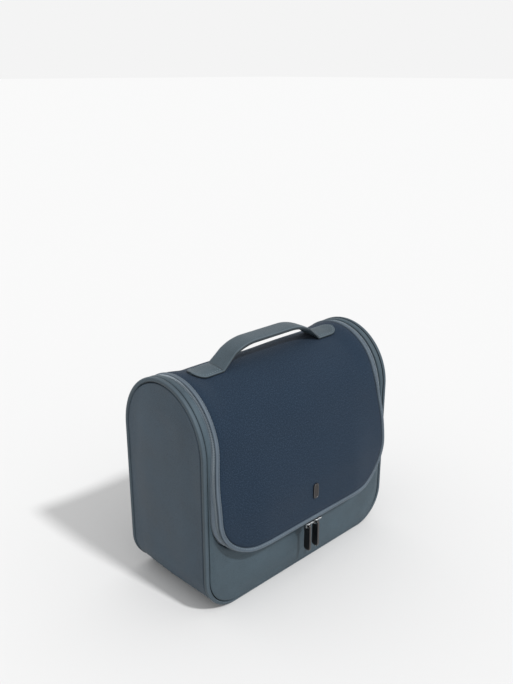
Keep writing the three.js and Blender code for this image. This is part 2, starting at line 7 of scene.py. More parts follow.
import bmesh
import bpy
import numpy as np
from mathutils import Euler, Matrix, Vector


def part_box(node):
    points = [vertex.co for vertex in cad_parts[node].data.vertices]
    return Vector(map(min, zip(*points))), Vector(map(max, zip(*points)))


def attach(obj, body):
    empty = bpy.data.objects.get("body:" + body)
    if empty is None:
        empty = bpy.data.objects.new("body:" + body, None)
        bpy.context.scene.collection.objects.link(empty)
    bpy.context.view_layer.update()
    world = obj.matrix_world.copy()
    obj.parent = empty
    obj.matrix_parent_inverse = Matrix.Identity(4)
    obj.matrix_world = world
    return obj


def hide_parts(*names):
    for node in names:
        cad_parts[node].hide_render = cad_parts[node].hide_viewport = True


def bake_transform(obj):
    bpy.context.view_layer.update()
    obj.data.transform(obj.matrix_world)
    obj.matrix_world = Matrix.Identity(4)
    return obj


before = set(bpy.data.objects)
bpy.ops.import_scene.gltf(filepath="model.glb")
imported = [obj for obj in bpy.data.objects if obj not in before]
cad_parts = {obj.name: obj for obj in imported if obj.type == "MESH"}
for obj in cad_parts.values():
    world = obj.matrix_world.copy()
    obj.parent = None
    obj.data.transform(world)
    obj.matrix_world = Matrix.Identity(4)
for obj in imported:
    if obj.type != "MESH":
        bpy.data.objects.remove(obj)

logging.basicConfig(level=logging.INFO, format="%(message)s")
log = logging.getLogger("shaving_kit_bag")

MM = 0.001
GAP = 0.3
SIDES = {"left": -1.0, "right": 1.0}
QUARTER = np.pi / 2
LINING_THICK = 0.8
REAR_FROM, REAR_TO = 15.0, 45.0
HINGE_TAPER = 14.0
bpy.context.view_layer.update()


class Body(str, Enum):
    """The moving bodies of the frame that pieces ride on."""

    CASE = "case"
    LID = "flap"
    HANDLE = "handle"


class Slot(str, Enum):
    """The record's material slots."""

    FRONT = "front_leather"
    GUSSET = "gusset_leather"
    EDGE = "edge_leather"
    HANDLE = "handle_leather"
    NAVY = "navy_cloth"
    LINING = "lining_cloth"
    MESH = "pocket_mesh"
    ELASTIC = "elastic"
    TAPE = "zip_tape"
    COIL = "zip_coil"
    BRIGHT = "bright_metal"
    DARK = "dark_metal"


# ---- Shapes ------------------------------------------------------------------------------------


def smooth(value: np.ndarray, low: float, high: float) -> np.ndarray:
    """Rise from 0 at low to 1 at high along 3t^2 - 2t^3.

    Args:
        value: where to take it.
        low: the value where the rise starts.
        high: the value where it ends.

    Returns:
        The rise at each value.
    """
    t = np.clip((value - low) / (high - low), 0.0, 1.0)
    return t * t * (3.0 - 2.0 * t)


def mix(low: np.ndarray, high: np.ndarray, share: np.ndarray) -> np.ndarray:
    """The value a share of the way from low to high."""
    return low + (high - low) * share


def corners(node: str) -> tuple[np.ndarray, np.ndarray]:
    """The lowest and highest corners of a node of the frame, in millimetres."""
    low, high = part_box(node)
    return np.array(low) / MM, np.array(high) / MM


@dataclass(frozen=True)
class Section:
    """A closed section drawn across a strip, from its first edge over the top and back underneath.

    A point lies share * width + shift across the strip, and lift above it. top is 1 on the upper half, and
    the edge mask is 1 on the rounded edges, where leather wears and metal takes a painted highlight.
    """

    share: np.ndarray
    shift: np.ndarray
    lift: np.ndarray
    top: np.ndarray
    wear_and_painted_light: np.ndarray


def squarish(turn: np.ndarray, power: float) -> np.ndarray:
    """Points of the superellipse |u|^p + |v|^p = 1 at angles round it, (..., 2)."""
    circle = np.stack([np.cos(turn), np.sin(turn)], axis=-1)
    return np.sign(circle) * np.abs(circle) ** (2 / power)


def around(count: int) -> np.ndarray:
    """Evenly spaced angles round a full turn, half a step from 0."""
    return (np.arange(count) + 0.5) / count * 2 * np.pi


def strip_section(thick: float, top_round: float, low_round: float, across: int, arc: int = 3) -> Section:
    """Section of a flat strip with rounded edges: quarter circles at its four corners.

    Args:
        thick: thickness, from lift 0 down.
        top_round: radius of the upper corners.
        low_round: radius of the lower corners.
        across: number of steps across each face.
        arc: number of steps round each corner.

    Returns:
        The section, with as many points above as below.
    """
    turn = np.linspace(0.0, QUARTER, arc + 1)
    inner = np.linspace(0.0, 1.0, across + 1)[1:-1]

    def face(radius: float) -> tuple[np.ndarray, np.ndarray, np.ndarray]:
        """Share, shift and drop of one face, first edge to second."""
        reach = radius * (1 - np.cos(turn))
        drop = radius * (1 - np.sin(turn))
        share = np.concatenate([np.zeros(arc + 1), inner, np.ones(arc + 1)])
        shift = np.concatenate([reach, radius * (1 - 2 * inner), -reach[::-1]])
        return share, shift, np.concatenate([drop, 0 * inner, drop[::-1]])

    share, shift, drop = face(top_round)
    low_share, low_shift, low_drop = face(low_round)
    bend = np.concatenate([np.ones(arc + 1), 0 * inner, np.ones(arc + 1)])
    return Section(
        np.concatenate([share, low_share[::-1]]),
        np.concatenate([shift, low_shift[::-1]]),
        np.concatenate([-drop, -thick + low_drop[::-1]]),
        np.concatenate([np.ones_like(share), np.zeros_like(share)]),
        np.concatenate([bend, bend]),
    )


def roll_section(
    centre: tuple[float, float], radii: tuple[float, float], power: float, count: int
) -> np.ndarray:
    """Section of a rounded roll: a superellipse |u/a|^p + |v/b|^p = 1.

    Args:
        centre: its middle.
        radii: its two half sizes.
        power: p; 2 is an ellipse, more is squarer.
        count: number of points, even.

    Returns:
        Points (count, 2), in order round it.
    """
    return np.array(centre) + np.array(radii) * squarish(around(count), power)


@dataclass
class Surface:
    """A mesh being made: points, faces, flat coordinates, and each point's wear, painted shade and painted
    highlight.
    """

    points: np.ndarray
    faces: np.ndarray
    flat: np.ndarray | None = None
    wear_and_painted_light: np.ndarray | None = None

    def facing_out(self) -> "Surface":
        """Turn every face over if together they enclose a negative volume, and return the surface."""
        corner = self.points[self.faces]
        first = np.cross(corner[:, 1] - corner[:, 0], corner[:, 2] - corner[:, 0])
        second = np.cross(corner[:, 2] - corner[:, 0], corner[:, 3] - corner[:, 0])
        middle = corner.mean(axis=1) - self.points.mean(axis=0)
        if np.einsum("ij,ij->", first + second, middle) < 0:
            self.faces = self.faces[:, ::-1]
        return self


def loft(rings: np.ndarray, loop: bool = False, caps: tuple[bool, bool] = (True, True)) -> np.ndarray:
    """Faces that join closed rings one after another, with ends closed by strips across them.

    Args:
        rings: points (stations, ring, 3); point i of a ring faces point ring - 1 - i across it.
        loop: whether the last ring joins the first.
        caps: whether the first and last rings are closed.

    Returns:
        Quads (faces, 4), as places in the rings laid end to end.
    """
    stations, count = rings.shape[:2]
    row = np.arange(stations if loop else stations - 1)[:, None]
    column = np.arange(count)[None, :]
    after_row = (row + 1) % stations
    after = (column + 1) % count
    quads = np.stack(
        [row * count + column, row * count + after, after_row * count + after, after_row * count + column],
        axis=-1,
    ).reshape(-1, 4)
    if loop:
        return quads
    across = np.arange(count // 2 - 1)
    cap = np.stack([across, count - 1 - across, count - 2 - across, across + 1], axis=1)
    last = (stations - 1) * count + cap[:, ::-1]
    return np.concatenate([quads] + [cap] * caps[0] + [last] * caps[1])


def lofted(
    rings: np.ndarray, flat: np.ndarray | None = None, wear_and_painted_light: np.ndarray | None = None, loop: bool = False
) -> Surface:
    """The surface lofted through closed rings, facing out.

    Args:
        rings: points (stations, ring, 3).
        flat: flat coordinates (stations, ring, 2), or None.
        wear_and_painted_light: how much each point is worn, or painted with shade or highlight, in a shape that
            spreads to (stations, ring), or None.
        loop: whether the last ring joins the first.

    Returns:
        The surface.
    """
    flat = None if flat is None else flat.reshape(-1, 2)
    wear_and_painted_light = None if wear_and_painted_light is None else np.broadcast_to(wear_and_painted_light, rings.shape[:2]).reshape(-1)
    return Surface(rings.reshape(-1, 3), loft(rings, loop), flat, wear_and_painted_light).facing_out()


def scatter(base: Surface, places: np.ndarray, axes: np.ndarray) -> Surface:
    """Copies of a small surface set down at many places.

    Args:
        base: the small surface, in its own axes.
        places: where each copy's origin goes, (copies, 3).
        axes: each copy's three axes as rows, (copies, 3, 3).

    Returns:
        All the copies as one surface.
    """
    points = places[:, None, :] + np.einsum("pk,ckd->cpd", base.points, axes)
    start = np.arange(len(places))[:, None, None] * len(base.points)
    return Surface(points.reshape(-1, 3), (base.faces[None] + start).reshape(-1, 4))


def bead(length: float, width: float, height: float, rows: int = 5, sides: int = 6) -> Surface:
    """A low rounded bead along its first axis: rings of a circle whose radius falls as sqrt(1 - t^2).

    Args:
        length: size along the first axis.
        width: size along the second.
        height: size along the third.
        rows: number of rings.
        sides: points in each ring, even.

    Returns:
        The closed surface.
    """
    t = np.sin(np.linspace(-1.0, 1.0, rows) * np.pi / 2 * 0.93)
    radius = np.sqrt(1 - t * t)
    ring = roll_section((0.0, 0.0), (width / 2, height / 2), 2.0, sides)
    rings = np.empty((rows, sides, 3))
    rings[..., 0] = t[:, None] * length / 2
    rings[..., 1:] = radius[:, None, None] * ring[None]
    return lofted(rings)


def make_piece(name: str, surface: Surface, sharp: float = 40.0, weld: float = 0.0) -> bpy.types.Object:
    """Put a surface into the scene as an object at the origin, smooth but for edges sharper than an angle.

    Args:
        name: the piece's name.
        surface: its points in millimetres, faces, flat coordinates, and its wear and painted light.
        sharp: angle in degrees above which an edge stays sharp.
        weld: distance in millimetres under which points are merged, or 0.

    Returns:
        The object.
    """
    mesh = bpy.data.meshes.new(name)
    mesh.from_pydata((surface.points * MM).tolist(), [], surface.faces.tolist())
    if surface.flat is not None:
        layer = mesh.uv_layers.new(name="flat")
        corner = np.empty(len(mesh.loops), np.int32)
        mesh.loops.foreach_get("vertex_index", corner)
        layer.data.foreach_set("uv", (surface.flat[corner] * MM).astype(np.float32).ravel())
    if surface.wear_and_painted_light is not None:
        wear_and_painted_light = mesh.attributes.new("wear_and_painted_light", "FLOAT", "POINT")
        wear_and_painted_light.data.foreach_set("value", surface.wear_and_painted_light.astype(np.float32).ravel())
    if weld > 0:
        work = bmesh.new()
        work.from_mesh(mesh)
        bmesh.ops.remove_doubles(work, verts=work.verts, dist=weld * MM)
        bmesh.ops.recalc_face_normals(work, faces=work.faces)
        work.to_mesh(mesh)
        work.free()
    mesh.shade_smooth()
    mesh.set_sharp_from_angle(angle=math.radians(sharp))
    piece = bpy.data.objects.new(name, mesh)
    bpy.context.scene.collection.objects.link(piece)
    log.info("%s: %d points", name, len(mesh.vertices))
    return piece


# ---- The girth and the zip line ----------------------------------------------------------------


@dataclass(frozen=True)
class BagSize:
    """Main sizes of the bag, read off the frame."""

    half_width: float
    half_depth: float
    height: float
    spring: float
    corner: float
    panel_half: float
    lid_bulge: float

    @classmethod
    def from_frame(cls) -> "BagSize":
        """Read the sizes off the boxes of the frame's nodes."""
        _, band = corners("edge_band_right")
        gusset, _ = corners("side_gusset_right")
        _, back = corners("back_panel")
        lid, _ = corners("flap_panel")
        return cls(
            half_width=band[0],
            half_depth=band[1],
            height=band[2],
            spring=back[2] + GAP,
            corner=band[0] - gusset[0],
            panel_half=back[0],
            lid_bulge=-lid[1] - band[1],
        )

    @property
    def band(self) -> float:
        """Width of the edge band on the face."""
        return self.half_width - self.panel_half - GAP


class Girth:
    """The front, arch and back as one surface that bends only about X; s runs from the front's foot."""

    def __init__(self, size: BagSize) -> None:
        """Lay out the girth's profile: up the front, half an ellipse over the top, and down the back."""
        turn = np.linspace(0.0, np.pi, 901)
        rise = size.height - size.spring
        arch_y = -size.half_depth * np.cos(turn)
        arch_z = size.spring + rise * np.sin(turn)
        self.y = np.concatenate([[-size.half_depth], arch_y, [size.half_depth]])
        self.z = np.concatenate([[0.0], arch_z, [0.0]])
        steps = np.hypot(np.diff(self.y), np.diff(self.z))
        self.s = np.concatenate([[0.0], np.cumsum(steps)])
        tilt = np.arctan2(np.sin(turn) / rise, -np.cos(turn) / size.half_depth)
        self.angle = np.concatenate([[np.pi], tilt, [0.0]])
        self.length = float(self.s[-1])
        self.hinge = self.length - size.spring
        self.crest = self.length / 2

    def normal(self, s: np.ndarray) -> np.ndarray:
        """The outward unit normal at s, (..., 3)."""
        angle = np.interp(s, self.s, self.angle)
        return np.stack([np.zeros_like(angle), np.cos(angle), np.sin(angle)], axis=-1)

    def place(self, x: np.ndarray, s: np.ndarray, lift: np.ndarray) -> np.ndarray:
        """The point x across, s along the girth and lift outwards from it.

        Args:
            x: across the bag.
            s: along the girth.
            lift: outwards.

        Returns:
            Points (..., 3).
        """
        x, s, lift = np.broadcast_arrays(x, s, lift)
        flat = np.stack([x, np.interp(s, self.s, self.y), np.interp(s, self.s, self.z)], axis=-1)
        return flat + lift[..., None] * self.normal(s)


@dataclass(frozen=True)
class LidShape:
    """How the lid stands out from the girth, and how the zip runs round it."""

    size: BagSize
    girth: Girth
    bulge_side: float = 10.0
    bulge_flat_half: float = 60.0
    bulge_full_below: float = 95.0
    bulge_none_above: float = 190.0
    reveal_front: float = 2.5
    reveal_top: float = 4.5
    spread_low: float = 125.0
    spread_high: float = 185.0
    corner: float = 48.0
    binding: float = 4.0
    sag_depth: float = 3.4
    sag_border: float = 26.0
    sag_near: float = 30.0
    sag_far: float = 85.0
    strip_inset: float = 0.4

    @property
    def half_front(self) -> float:
        """Half width of the zip line on the front."""
        return float(corners("flap_binding")[1][0]) + self.reveal_front

    @property
    def half_top(self) -> float:
        """Half width of the zip line on the arch."""
        return float(corners("hinge_strip")[1][0]) + self.reveal_top + self.strip_inset

    @property
    def bottom(self) -> float:
        """Where the zip line crosses the front."""
        return float(corners("flap_binding")[0][2]) - self.reveal_front

    def sag(self, x: np.ndarray, s: np.ndarray) -> np.ndarray:
        """How far the lid sinks along its crest, between its two arched ends."""
        border = self.half_top - self.reveal_top - self.binding
        across = 1 - smooth(np.abs(x), border - self.sag_border, border)
        along = 1 - smooth(np.abs(s - self.girth.crest), self.sag_near, self.sag_far)
        return self.sag_depth * across * along

    def bulge(self, x: np.ndarray, s: np.ndarray) -> np.ndarray:
        """How far the lid stands out: most along its lower middle, and a little below 0 along its crest."""
        across = smooth(np.abs(x), self.bulge_flat_half, self.half_front)
        down = 1 - smooth(s, self.bulge_full_below, self.bulge_none_above)
        return down * mix(self.size.lid_bulge, self.bulge_side, across) - self.sag(x, s)

    def level(self, s: np.ndarray) -> np.ndarray:
        """How far the zip has turned from facing sideways on the front (0) to lying on the arch (1)."""
        return smooth(s, self.spread_low, self.spread_high)

    def half(self, s: np.ndarray) -> np.ndarray:
        """Half width of the zip line at s."""
        return mix(self.half_front, self.half_top, self.level(s))

    def reveal(self, s: np.ndarray) -> np.ndarray:
        """Distance from the zip line to the lid's edge."""
        return mix(self.reveal_front, self.reveal_top, self.level(s))

    def edge_half(self, s: np.ndarray, margin: float) -> np.ndarray:
        """Half width of the lid at s, margin inside its edge, with rounded lower corners.

        Args:
            s: along the girth.
            margin: distance inside the lid's edge.

        Returns:
            The half widths.
        """
        radius = self.corner - self.reveal_front - margin
        below = np.clip((self.bottom + self.corner - s) / radius, 0.0, 1.0)
        return self.half(s) - self.reveal(s) - margin - radius * (1 - np.sqrt(1 - below * below))


class ZipLine:
    """The case's edge of the zip, a U from the hinge's right end round the front to its left end."""

    STEP = 2.0
    CASE_DROP = 0.8
    LID_DROPS = (2.0, 0.8)
    TEETH_FROM_LID = 1.6

    def __init__(self, lid: LidShape) -> None:
        """Lay out the U by distance along it, with the inward direction and the front panel's outer edge."""
        self.lid = lid
        size, girth = lid.size, lid.girth
        corner_x = lid.half_front - lid.corner
        corner_s = lid.bottom + lid.corner
        arm_s = np.linspace(girth.hinge - GAP, corner_s, 130)
        turn = np.linspace(0.0, QUARTER, 41)[1:]
        foot = np.linspace(corner_x, 0.0, 31)[1:]
        reach = size.half_width - size.panel_half
        radius = size.corner - reach
        outline_turn = np.linspace(0.0, QUARTER, 25)
        outline_x = size.panel_half - radius + radius * np.cos(outline_turn)
        outline_s = size.corner - radius * np.sin(outline_turn)
        outline_x = np.concatenate([[size.panel_half], outline_x, [corner_x]])
        outline_s = np.concatenate([[corner_s], outline_s, [reach]])
        outline = np.concatenate([[0.0], np.cumsum(np.hypot(np.diff(outline_x), np.diff(outline_s)))])
        share = turn / (np.pi / 2) * outline[-1]
        half = {
            "x": [lid.half(arm_s), corner_x + lid.corner * np.cos(turn), foot],
            "s": [arm_s, corner_s - lid.corner * np.sin(turn), 0 * foot + lid.bottom],
            "in_x": [-1 + 0 * arm_s, -np.cos(turn), 0 * foot],
            "in_s": [0 * arm_s, np.sin(turn), 1 + 0 * foot],
            "outer_x": [size.panel_half + 0 * arm_s, np.interp(share, outline, outline_x), foot],
            "outer_s": [arm_s, np.interp(share, outline, outline_s), 0 * foot + reach],
        }
        odd = {"x", "in_x", "outer_x"}
        whole = {}
        for key, parts in half.items():
            one = np.concatenate(parts)
            whole[key] = np.concatenate([one, (-one if key in odd else one)[:-1][::-1]])
        along = np.hypot(np.diff(whole["x"]), np.diff(whole["s"]))
        distance = np.concatenate([[0.0], np.cumsum(along)])
        self.length = float(distance[-1])
        self._distance = distance
        self._whole = whole

    def at(self, distance: np.ndarray) -> dict[str, np.ndarray]:
        """The line's values at distances along it, by name, with the inward direction of unit length."""
        place = {key: np.interp(distance, self._distance, value) for key, value in self._whole.items()}
        size = np.hypot(place["in_x"], place["in_s"])
        place["in_x"] = place["in_x"] / size
        place["in_s"] = place["in_s"] / size
        return place

    def stations(self, step: float = STEP) -> np.ndarray:
        """Distances along the line, evenly spaced by about step."""
        return np.linspace(0.0, self.length, int(round(self.length / step)) + 1)

    def section(self, place: dict[str, np.ndarray]) -> dict[str, np.ndarray]:
        """The zip's straight section, from the case's edge to the lid's, in inward distance and lift.

        Args:
            place: values of the line from at().

        Returns:
            Its start, the unit step across it, its length and the middle of its teeth.
        """
        lid = self.lid
        reveal = lid.reveal(place["s"])
        edge_x = place["x"] + reveal * place["in_x"]
        edge_s = place["s"] + reveal * place["in_s"]
        drop = mix(*self.LID_DROPS, lid.level(place["s"]))
        run = reveal - 2 * GAP
        climb = lid.bulge(edge_x, edge_s) - drop + self.CASE_DROP
        length = np.hypot(run, climb)
        return {
            "start_a": GAP + 0 * run,
            "start_lift": -self.CASE_DROP + 0 * run,
            "across_a": run / length,
            "across_lift": climb / length,
            "length": length,
            "middle": length - self.TEETH_FROM_LID - GAP / 2,
        }

    def beside(self, place: dict[str, np.ndarray], a: np.ndarray, lift: np.ndarray) -> np.ndarray:
        """The point a inwards from the line, lift above the girth."""
        wide = a.ndim - place["x"].ndim
        names = ("x", "s", "in_x", "in_s")
        x, s, in_x, in_s = (place[k].reshape(place[k].shape + (1,) * wide) for k in names)
        return self.lid.girth.place(x + a * in_x, s + a * in_s, lift)

    def on_section(self, place: dict[str, np.ndarray], along: np.ndarray, height: np.ndarray) -> np.ndarray:
        """The point along the zip's section from the case's edge, height above it.

        Args:
            place: values of the line from at(), one per station.
            along: distances across, (stations, points).
            height: heights above the section, (stations, points).

        Returns:
            Points (stations, points, 3).
        """
        cut = {key: value[:, None] for key, value in self.section(place).items()}
        a = cut["start_a"] + cut["across_a"] * along - cut["across_lift"] * height
        lift = cut["start_lift"] + cut["across_lift"] * along + cut["across_a"] * height
        return self.beside(place, a, lift)


# ---- Finishes ----------------------------------------------------------------------------------


def linear(red: int, green: int, blue: int) -> tuple[float, float, float, float]:
    """A colour given as 0 to 255 on screen, as linear light with full alpha."""
    value = np.array([red, green, blue]) / 255
    light = np.where(value <= 0.04045, value / 12.92, ((value + 0.055) / 1.055) ** 2.4)
    return (*light.tolist(), 1.0)


class NodeMaker:
    """Adds and joins shader nodes in one tree."""

    def __init__(self, tree: bpy.types.NodeTree) -> None:
        """Start with the tree's nodes as they are."""
        self.tree = tree

    def add(self, kind: str, values: dict | None = None, **settings) -> bpy.types.Node:
        """Add a node.

        Args:
            kind: the node's type name.
            values: socket values or sockets to join, by input name or place.
            settings: properties of the node.

        Returns:
            The node.
        """
        node = self.tree.nodes.new(kind)
        for key, value in settings.items():
            setattr(node, key, value)
        for key, value in (values or {}).items():
            socket = node.inputs[key]
            if isinstance(value, bpy.types.NodeSocket):
                self.tree.links.new(value, socket)
            else:
                socket.default_value = value
        return node

    def maths(self, operation: str, first: object, second: object = 0.0) -> bpy.types.NodeSocket:
        """A Math node's result."""
        return self.add("ShaderNodeMath", {0: first, 1: second}, operation=operation).outputs[0]

    def blend(self, share: object, first: object, second: object, how: str = "MIX") -> bpy.types.NodeSocket:
        """A colour Mix node's result."""
        node = self.add("ShaderNodeMix", data_type="RGBA", blend_type=how)
        for place, value in ((0, share), (6, first), (7, second)):
            if isinstance(value, bpy.types.NodeSocket):
                self.tree.links.new(value, node.inputs[place])
            else:
                node.inputs[place].default_value = value
        return node.outputs[2]

    def ranged(
        self, value: object, low: float, high: float, to_low: float = 0.0, to_high: float = 1.0
    ) -> bpy.types.NodeSocket:
        """A value carried from one range to another, clamped."""
        node = self.add("ShaderNodeMapRange", {0: value, 1: low, 2: high, 3: to_low, 4: to_high})
        return node.outputs[0]


def node_group(
    name: str, inputs: dict[str, tuple[str, object]], outputs: dict[str, str]
) -> tuple[bpy.types.NodeTree, NodeMaker, bpy.types.Node, bpy.types.Node]:
    """Start a shader node group.

    Args:
        name: the group's name.
        inputs: socket type and default value by name.
        outputs: socket type by name.

    Returns:
        The group, a maker for its nodes, and its input and output nodes.
    """
    group = bpy.data.node_groups.new(name, "ShaderNodeTree")
    for key, (kind, value) in inputs.items():
        socket = group.interface.new_socket(name=key, in_out="INPUT", socket_type=kind)
        if value is not None:
            socket.default_value = value
    for key, kind in outputs.items():
        group.interface.new_socket(name=key, in_out="OUTPUT", socket_type=kind)
    maker = NodeMaker(group)
    return group, maker, group.nodes.new("NodeGroupInput"), group.nodes.new("NodeGroupOutput")


FLOAT = "NodeSocketFloat"
VECTOR = "NodeSocketVector"


def build_grain_group() -> bpy.types.NodeTree:
    """Leather grain: small rounded pebbles parted by fine creases, over broader soft folds.

    Returns:
        The group, with Height, Crease (1 in the creases) and Cloud (broad patches, 0 to 1).
    """
    group, make, source, result = node_group(
        "leather_grain",
        {"Vector": (VECTOR, None), "Pebble": (FLOAT, 900.0), "Fold": (FLOAT, 60.0)},
        {"Height": FLOAT, "Crease": FLOAT, "Cloud": FLOAT},
    )
    vector = source.outputs["Vector"]
    bend = make.add("ShaderNodeTexNoise", {"Vector": vector, "Scale": source.outputs["Fold"], "Detail": 2.0})
    pebble = make.add(
        "ShaderNodeTexVoronoi",
        {"Vector": vector, "Scale": source.outputs["Pebble"], "Randomness": 0.9},
        feature="DISTANCE_TO_EDGE",
    )
    domed = make.ranged(pebble.outputs["Distance"], 0.0, 0.32)
    fine = make.add("ShaderNodeTexNoise", {"Vector": vector, "Scale": 2600.0, "Detail": 3.0})
    height = make.maths("ADD", domed, make.maths("MULTIPLY", fine.outputs[0], 0.5))
    height = make.maths("ADD", height, make.maths("MULTIPLY", bend.outputs[0], 1.6))
    cloud = make.add("ShaderNodeTexNoise", {"Vector": vector, "Scale": 22.0, "Detail": 4.0, "Roughness": 0.6})
    make.tree.links.new(height, result.inputs["Height"])
    make.tree.links.new(make.ranged(pebble.outputs["Distance"], 0.0, 0.12, 1.0, 0.0), result.inputs["Crease"])
    make.tree.links.new(make.ranged(cloud.outputs[0], 0.3, 0.7), result.inputs["Cloud"])
    return group


def build_weave_group() -> bpy.types.NodeTree:
    """Plain weave: warp and weft sines that pass over each other, with uneven yarn and light flecks.

    Returns:
        The group, with Height, Yarn (which yarn is on top, 0 to 1), Fleck and Cloud.
    """
    group, make, source, result = node_group(
        "weave",
        {
            "Vector": (VECTOR, None),
            "Yarns": (FLOAT, 900.0),
            "Slant": (FLOAT, 0.0),
            "Fleck_size": (FLOAT, 500.0),
        },
        {"Height": FLOAT, "Yarn": FLOAT, "Fleck": FLOAT, "Cloud": FLOAT},
    )
    vector = source.outputs["Vector"]
    yarns = source.outputs["Yarns"]
    wobble = make.add("ShaderNodeTexNoise", {"Vector": vector, "Scale": 140.0, "Detail": 2.0})
    parts = make.add("ShaderNodeSeparateXYZ", {0: vector})
    shift = make.maths("MULTIPLY", make.maths("SUBTRACT", wobble.outputs[0], 0.5), 0.0012)
    across = make.maths("ADD", parts.outputs[0], shift)
    along = make.maths("ADD", parts.outputs[1], shift)
    slanted = make.maths("ADD", across, make.maths("MULTIPLY", along, source.outputs["Slant"]))
    turn = make.maths("MULTIPLY", yarns, 2 * math.pi)
    warp = make.maths("SINE", make.maths("MULTIPLY", slanted, turn))
    weft = make.maths("SINE", make.maths("MULTIPLY", along, turn))
    over = make.maths("MULTIPLY", warp, weft)
    height = make.maths("ADD", make.maths("MULTIPLY", over, 0.5), 0.5)
    fuzz = make.add("ShaderNodeTexNoise", {"Vector": vector, "Scale": 3200.0, "Detail": 2.0})
    height = make.maths("ADD", height, make.maths("MULTIPLY", fuzz.outputs[0], 0.6))
    fleck_size = source.outputs["Fleck_size"]
    fleck = make.add(
        "ShaderNodeTexNoise", {"Vector": vector, "Scale": fleck_size, "Detail": 3.0, "Roughness": 0.7}
    )
    cloud = make.add("ShaderNodeTexNoise", {"Vector": vector, "Scale": 30.0, "Detail": 3.0})
    make.tree.links.new(height, result.inputs["Height"])
    make.tree.links.new(make.maths("ADD", make.maths("MULTIPLY", over, 0.5), 0.5), result.inputs["Yarn"])
    make.tree.links.new(make.ranged(fleck.outputs[0], 0.46, 0.66), result.inputs["Fleck"])
    make.tree.links.new(make.ranged(cloud.outputs[0], 0.3, 0.7), result.inputs["Cloud"])
    return group


def toned(colour: tuple[float, float, float, float], share: float, more: float = 0.0) -> tuple[float, ...]:
    """A colour times a share, plus a little more, at most 1 and with full alpha."""
    return tuple(min(1.0, c * share + more) for c in colour[:3]) + (1.0,)


class Finish:
    """Base of the finishes: one material with its shader."""

    name: str

    def start(self) -> tuple[bpy.types.Material, NodeMaker, bpy.types.Node]:
        """A new material, a maker for its nodes and its Principled shader."""
        material = bpy.data.materials.new(self.name)
        material.use_nodes = True
        make = NodeMaker(material.node_tree)
        shader = material.node_tree.nodes["Principled BSDF"]
        return material, make, shader

    @staticmethod
    def join(make: NodeMaker, shader: bpy.types.Node, **sockets: object) -> None:
        """Join or set sockets of the shader, by name with _ for spaces."""
        for key, value in sockets.items():
            socket = shader.inputs[key.replace("_", " ")]
            if isinstance(value, bpy.types.NodeSocket):
                make.tree.links.new(value, socket)
            else:
                socket.default_value = value


@dataclass(frozen=True)
class Leather(Finish):
    """Dyed leather: pebbled grain with painted shade in its creases, patches of tone, lighter where rubbed, and
    painted shade down in its seams.

    The edge attribute is above 0 on rubbed edges, and on the edge bands' rear also paints a highlight; below 0
    it marks seams, where shade is painted.
    """

    name: str
    colour: tuple[float, float, float, float]
    worn_and_highlight: tuple[float, float, float, float]
    pebble: float = 900.0
    depth: float = 0.35
    roughness: float = 0.52
    gloss: float = 0.3

    def build(self, grain: bpy.types.NodeTree) -> bpy.types.Material:
        """Build the material.

        Args:
            grain: the leather grain group.

        Returns:
            The material.
        """
        material, make, shader = self.start()
        place = make.add("ShaderNodeTexCoord")
        group = make.add("ShaderNodeGroup", node_tree=grain)
        make.tree.links.new(place.outputs["Object"], group.inputs["Vector"])
        group.inputs["Pebble"].default_value = self.pebble
        edge = make.add("ShaderNodeAttribute", attribute_name="wear_and_painted_light").outputs["Fac"]
        wear_and_painted_light = make.maths("MAXIMUM", edge, 0.0)
        seam = make.maths("MAXIMUM", make.maths("MULTIPLY", edge, -1.0), 0.0)
        dark = toned(self.colour, 0.80)
        tone = make.blend(group.outputs["Cloud"], dark, toned(self.colour, 1.16))
        # Painted shade: the grain's creases are darkened.
        crease = make.maths("MULTIPLY", group.outputs["Crease"], 0.35)
        tone = make.blend(crease, tone, dark, "MULTIPLY")
        # Rubbed edges take the worn tone; along the edge bands' rear this also paints a highlight.
        tone = make.blend(make.maths("MULTIPLY", wear_and_painted_light, 0.55), tone, self.worn_and_highlight)
        # Painted shade: seams are darkened to 0.18 of the colour.
        tone = make.blend(make.maths("MULTIPLY", seam, 0.9), tone, toned(self.colour, 0.18))
        rough = make.ranged(group.outputs["Cloud"], 0.0, 1.0, self.roughness - 0.06, self.roughness + 0.06)
        rough = make.maths("SUBTRACT", rough, make.maths("MULTIPLY", wear_and_painted_light, 0.08))
        bump = make.add(
            "ShaderNodeBump",
            {"Height": group.outputs["Height"], "Strength": self.depth, "Distance": 0.00025},
        )
        self.join(make, shader, Base_Color=tone, Roughness=rough, Normal=bump.outputs[0])
        self.join(make, shader, Specular_IOR_Level=self.gloss)
        return material


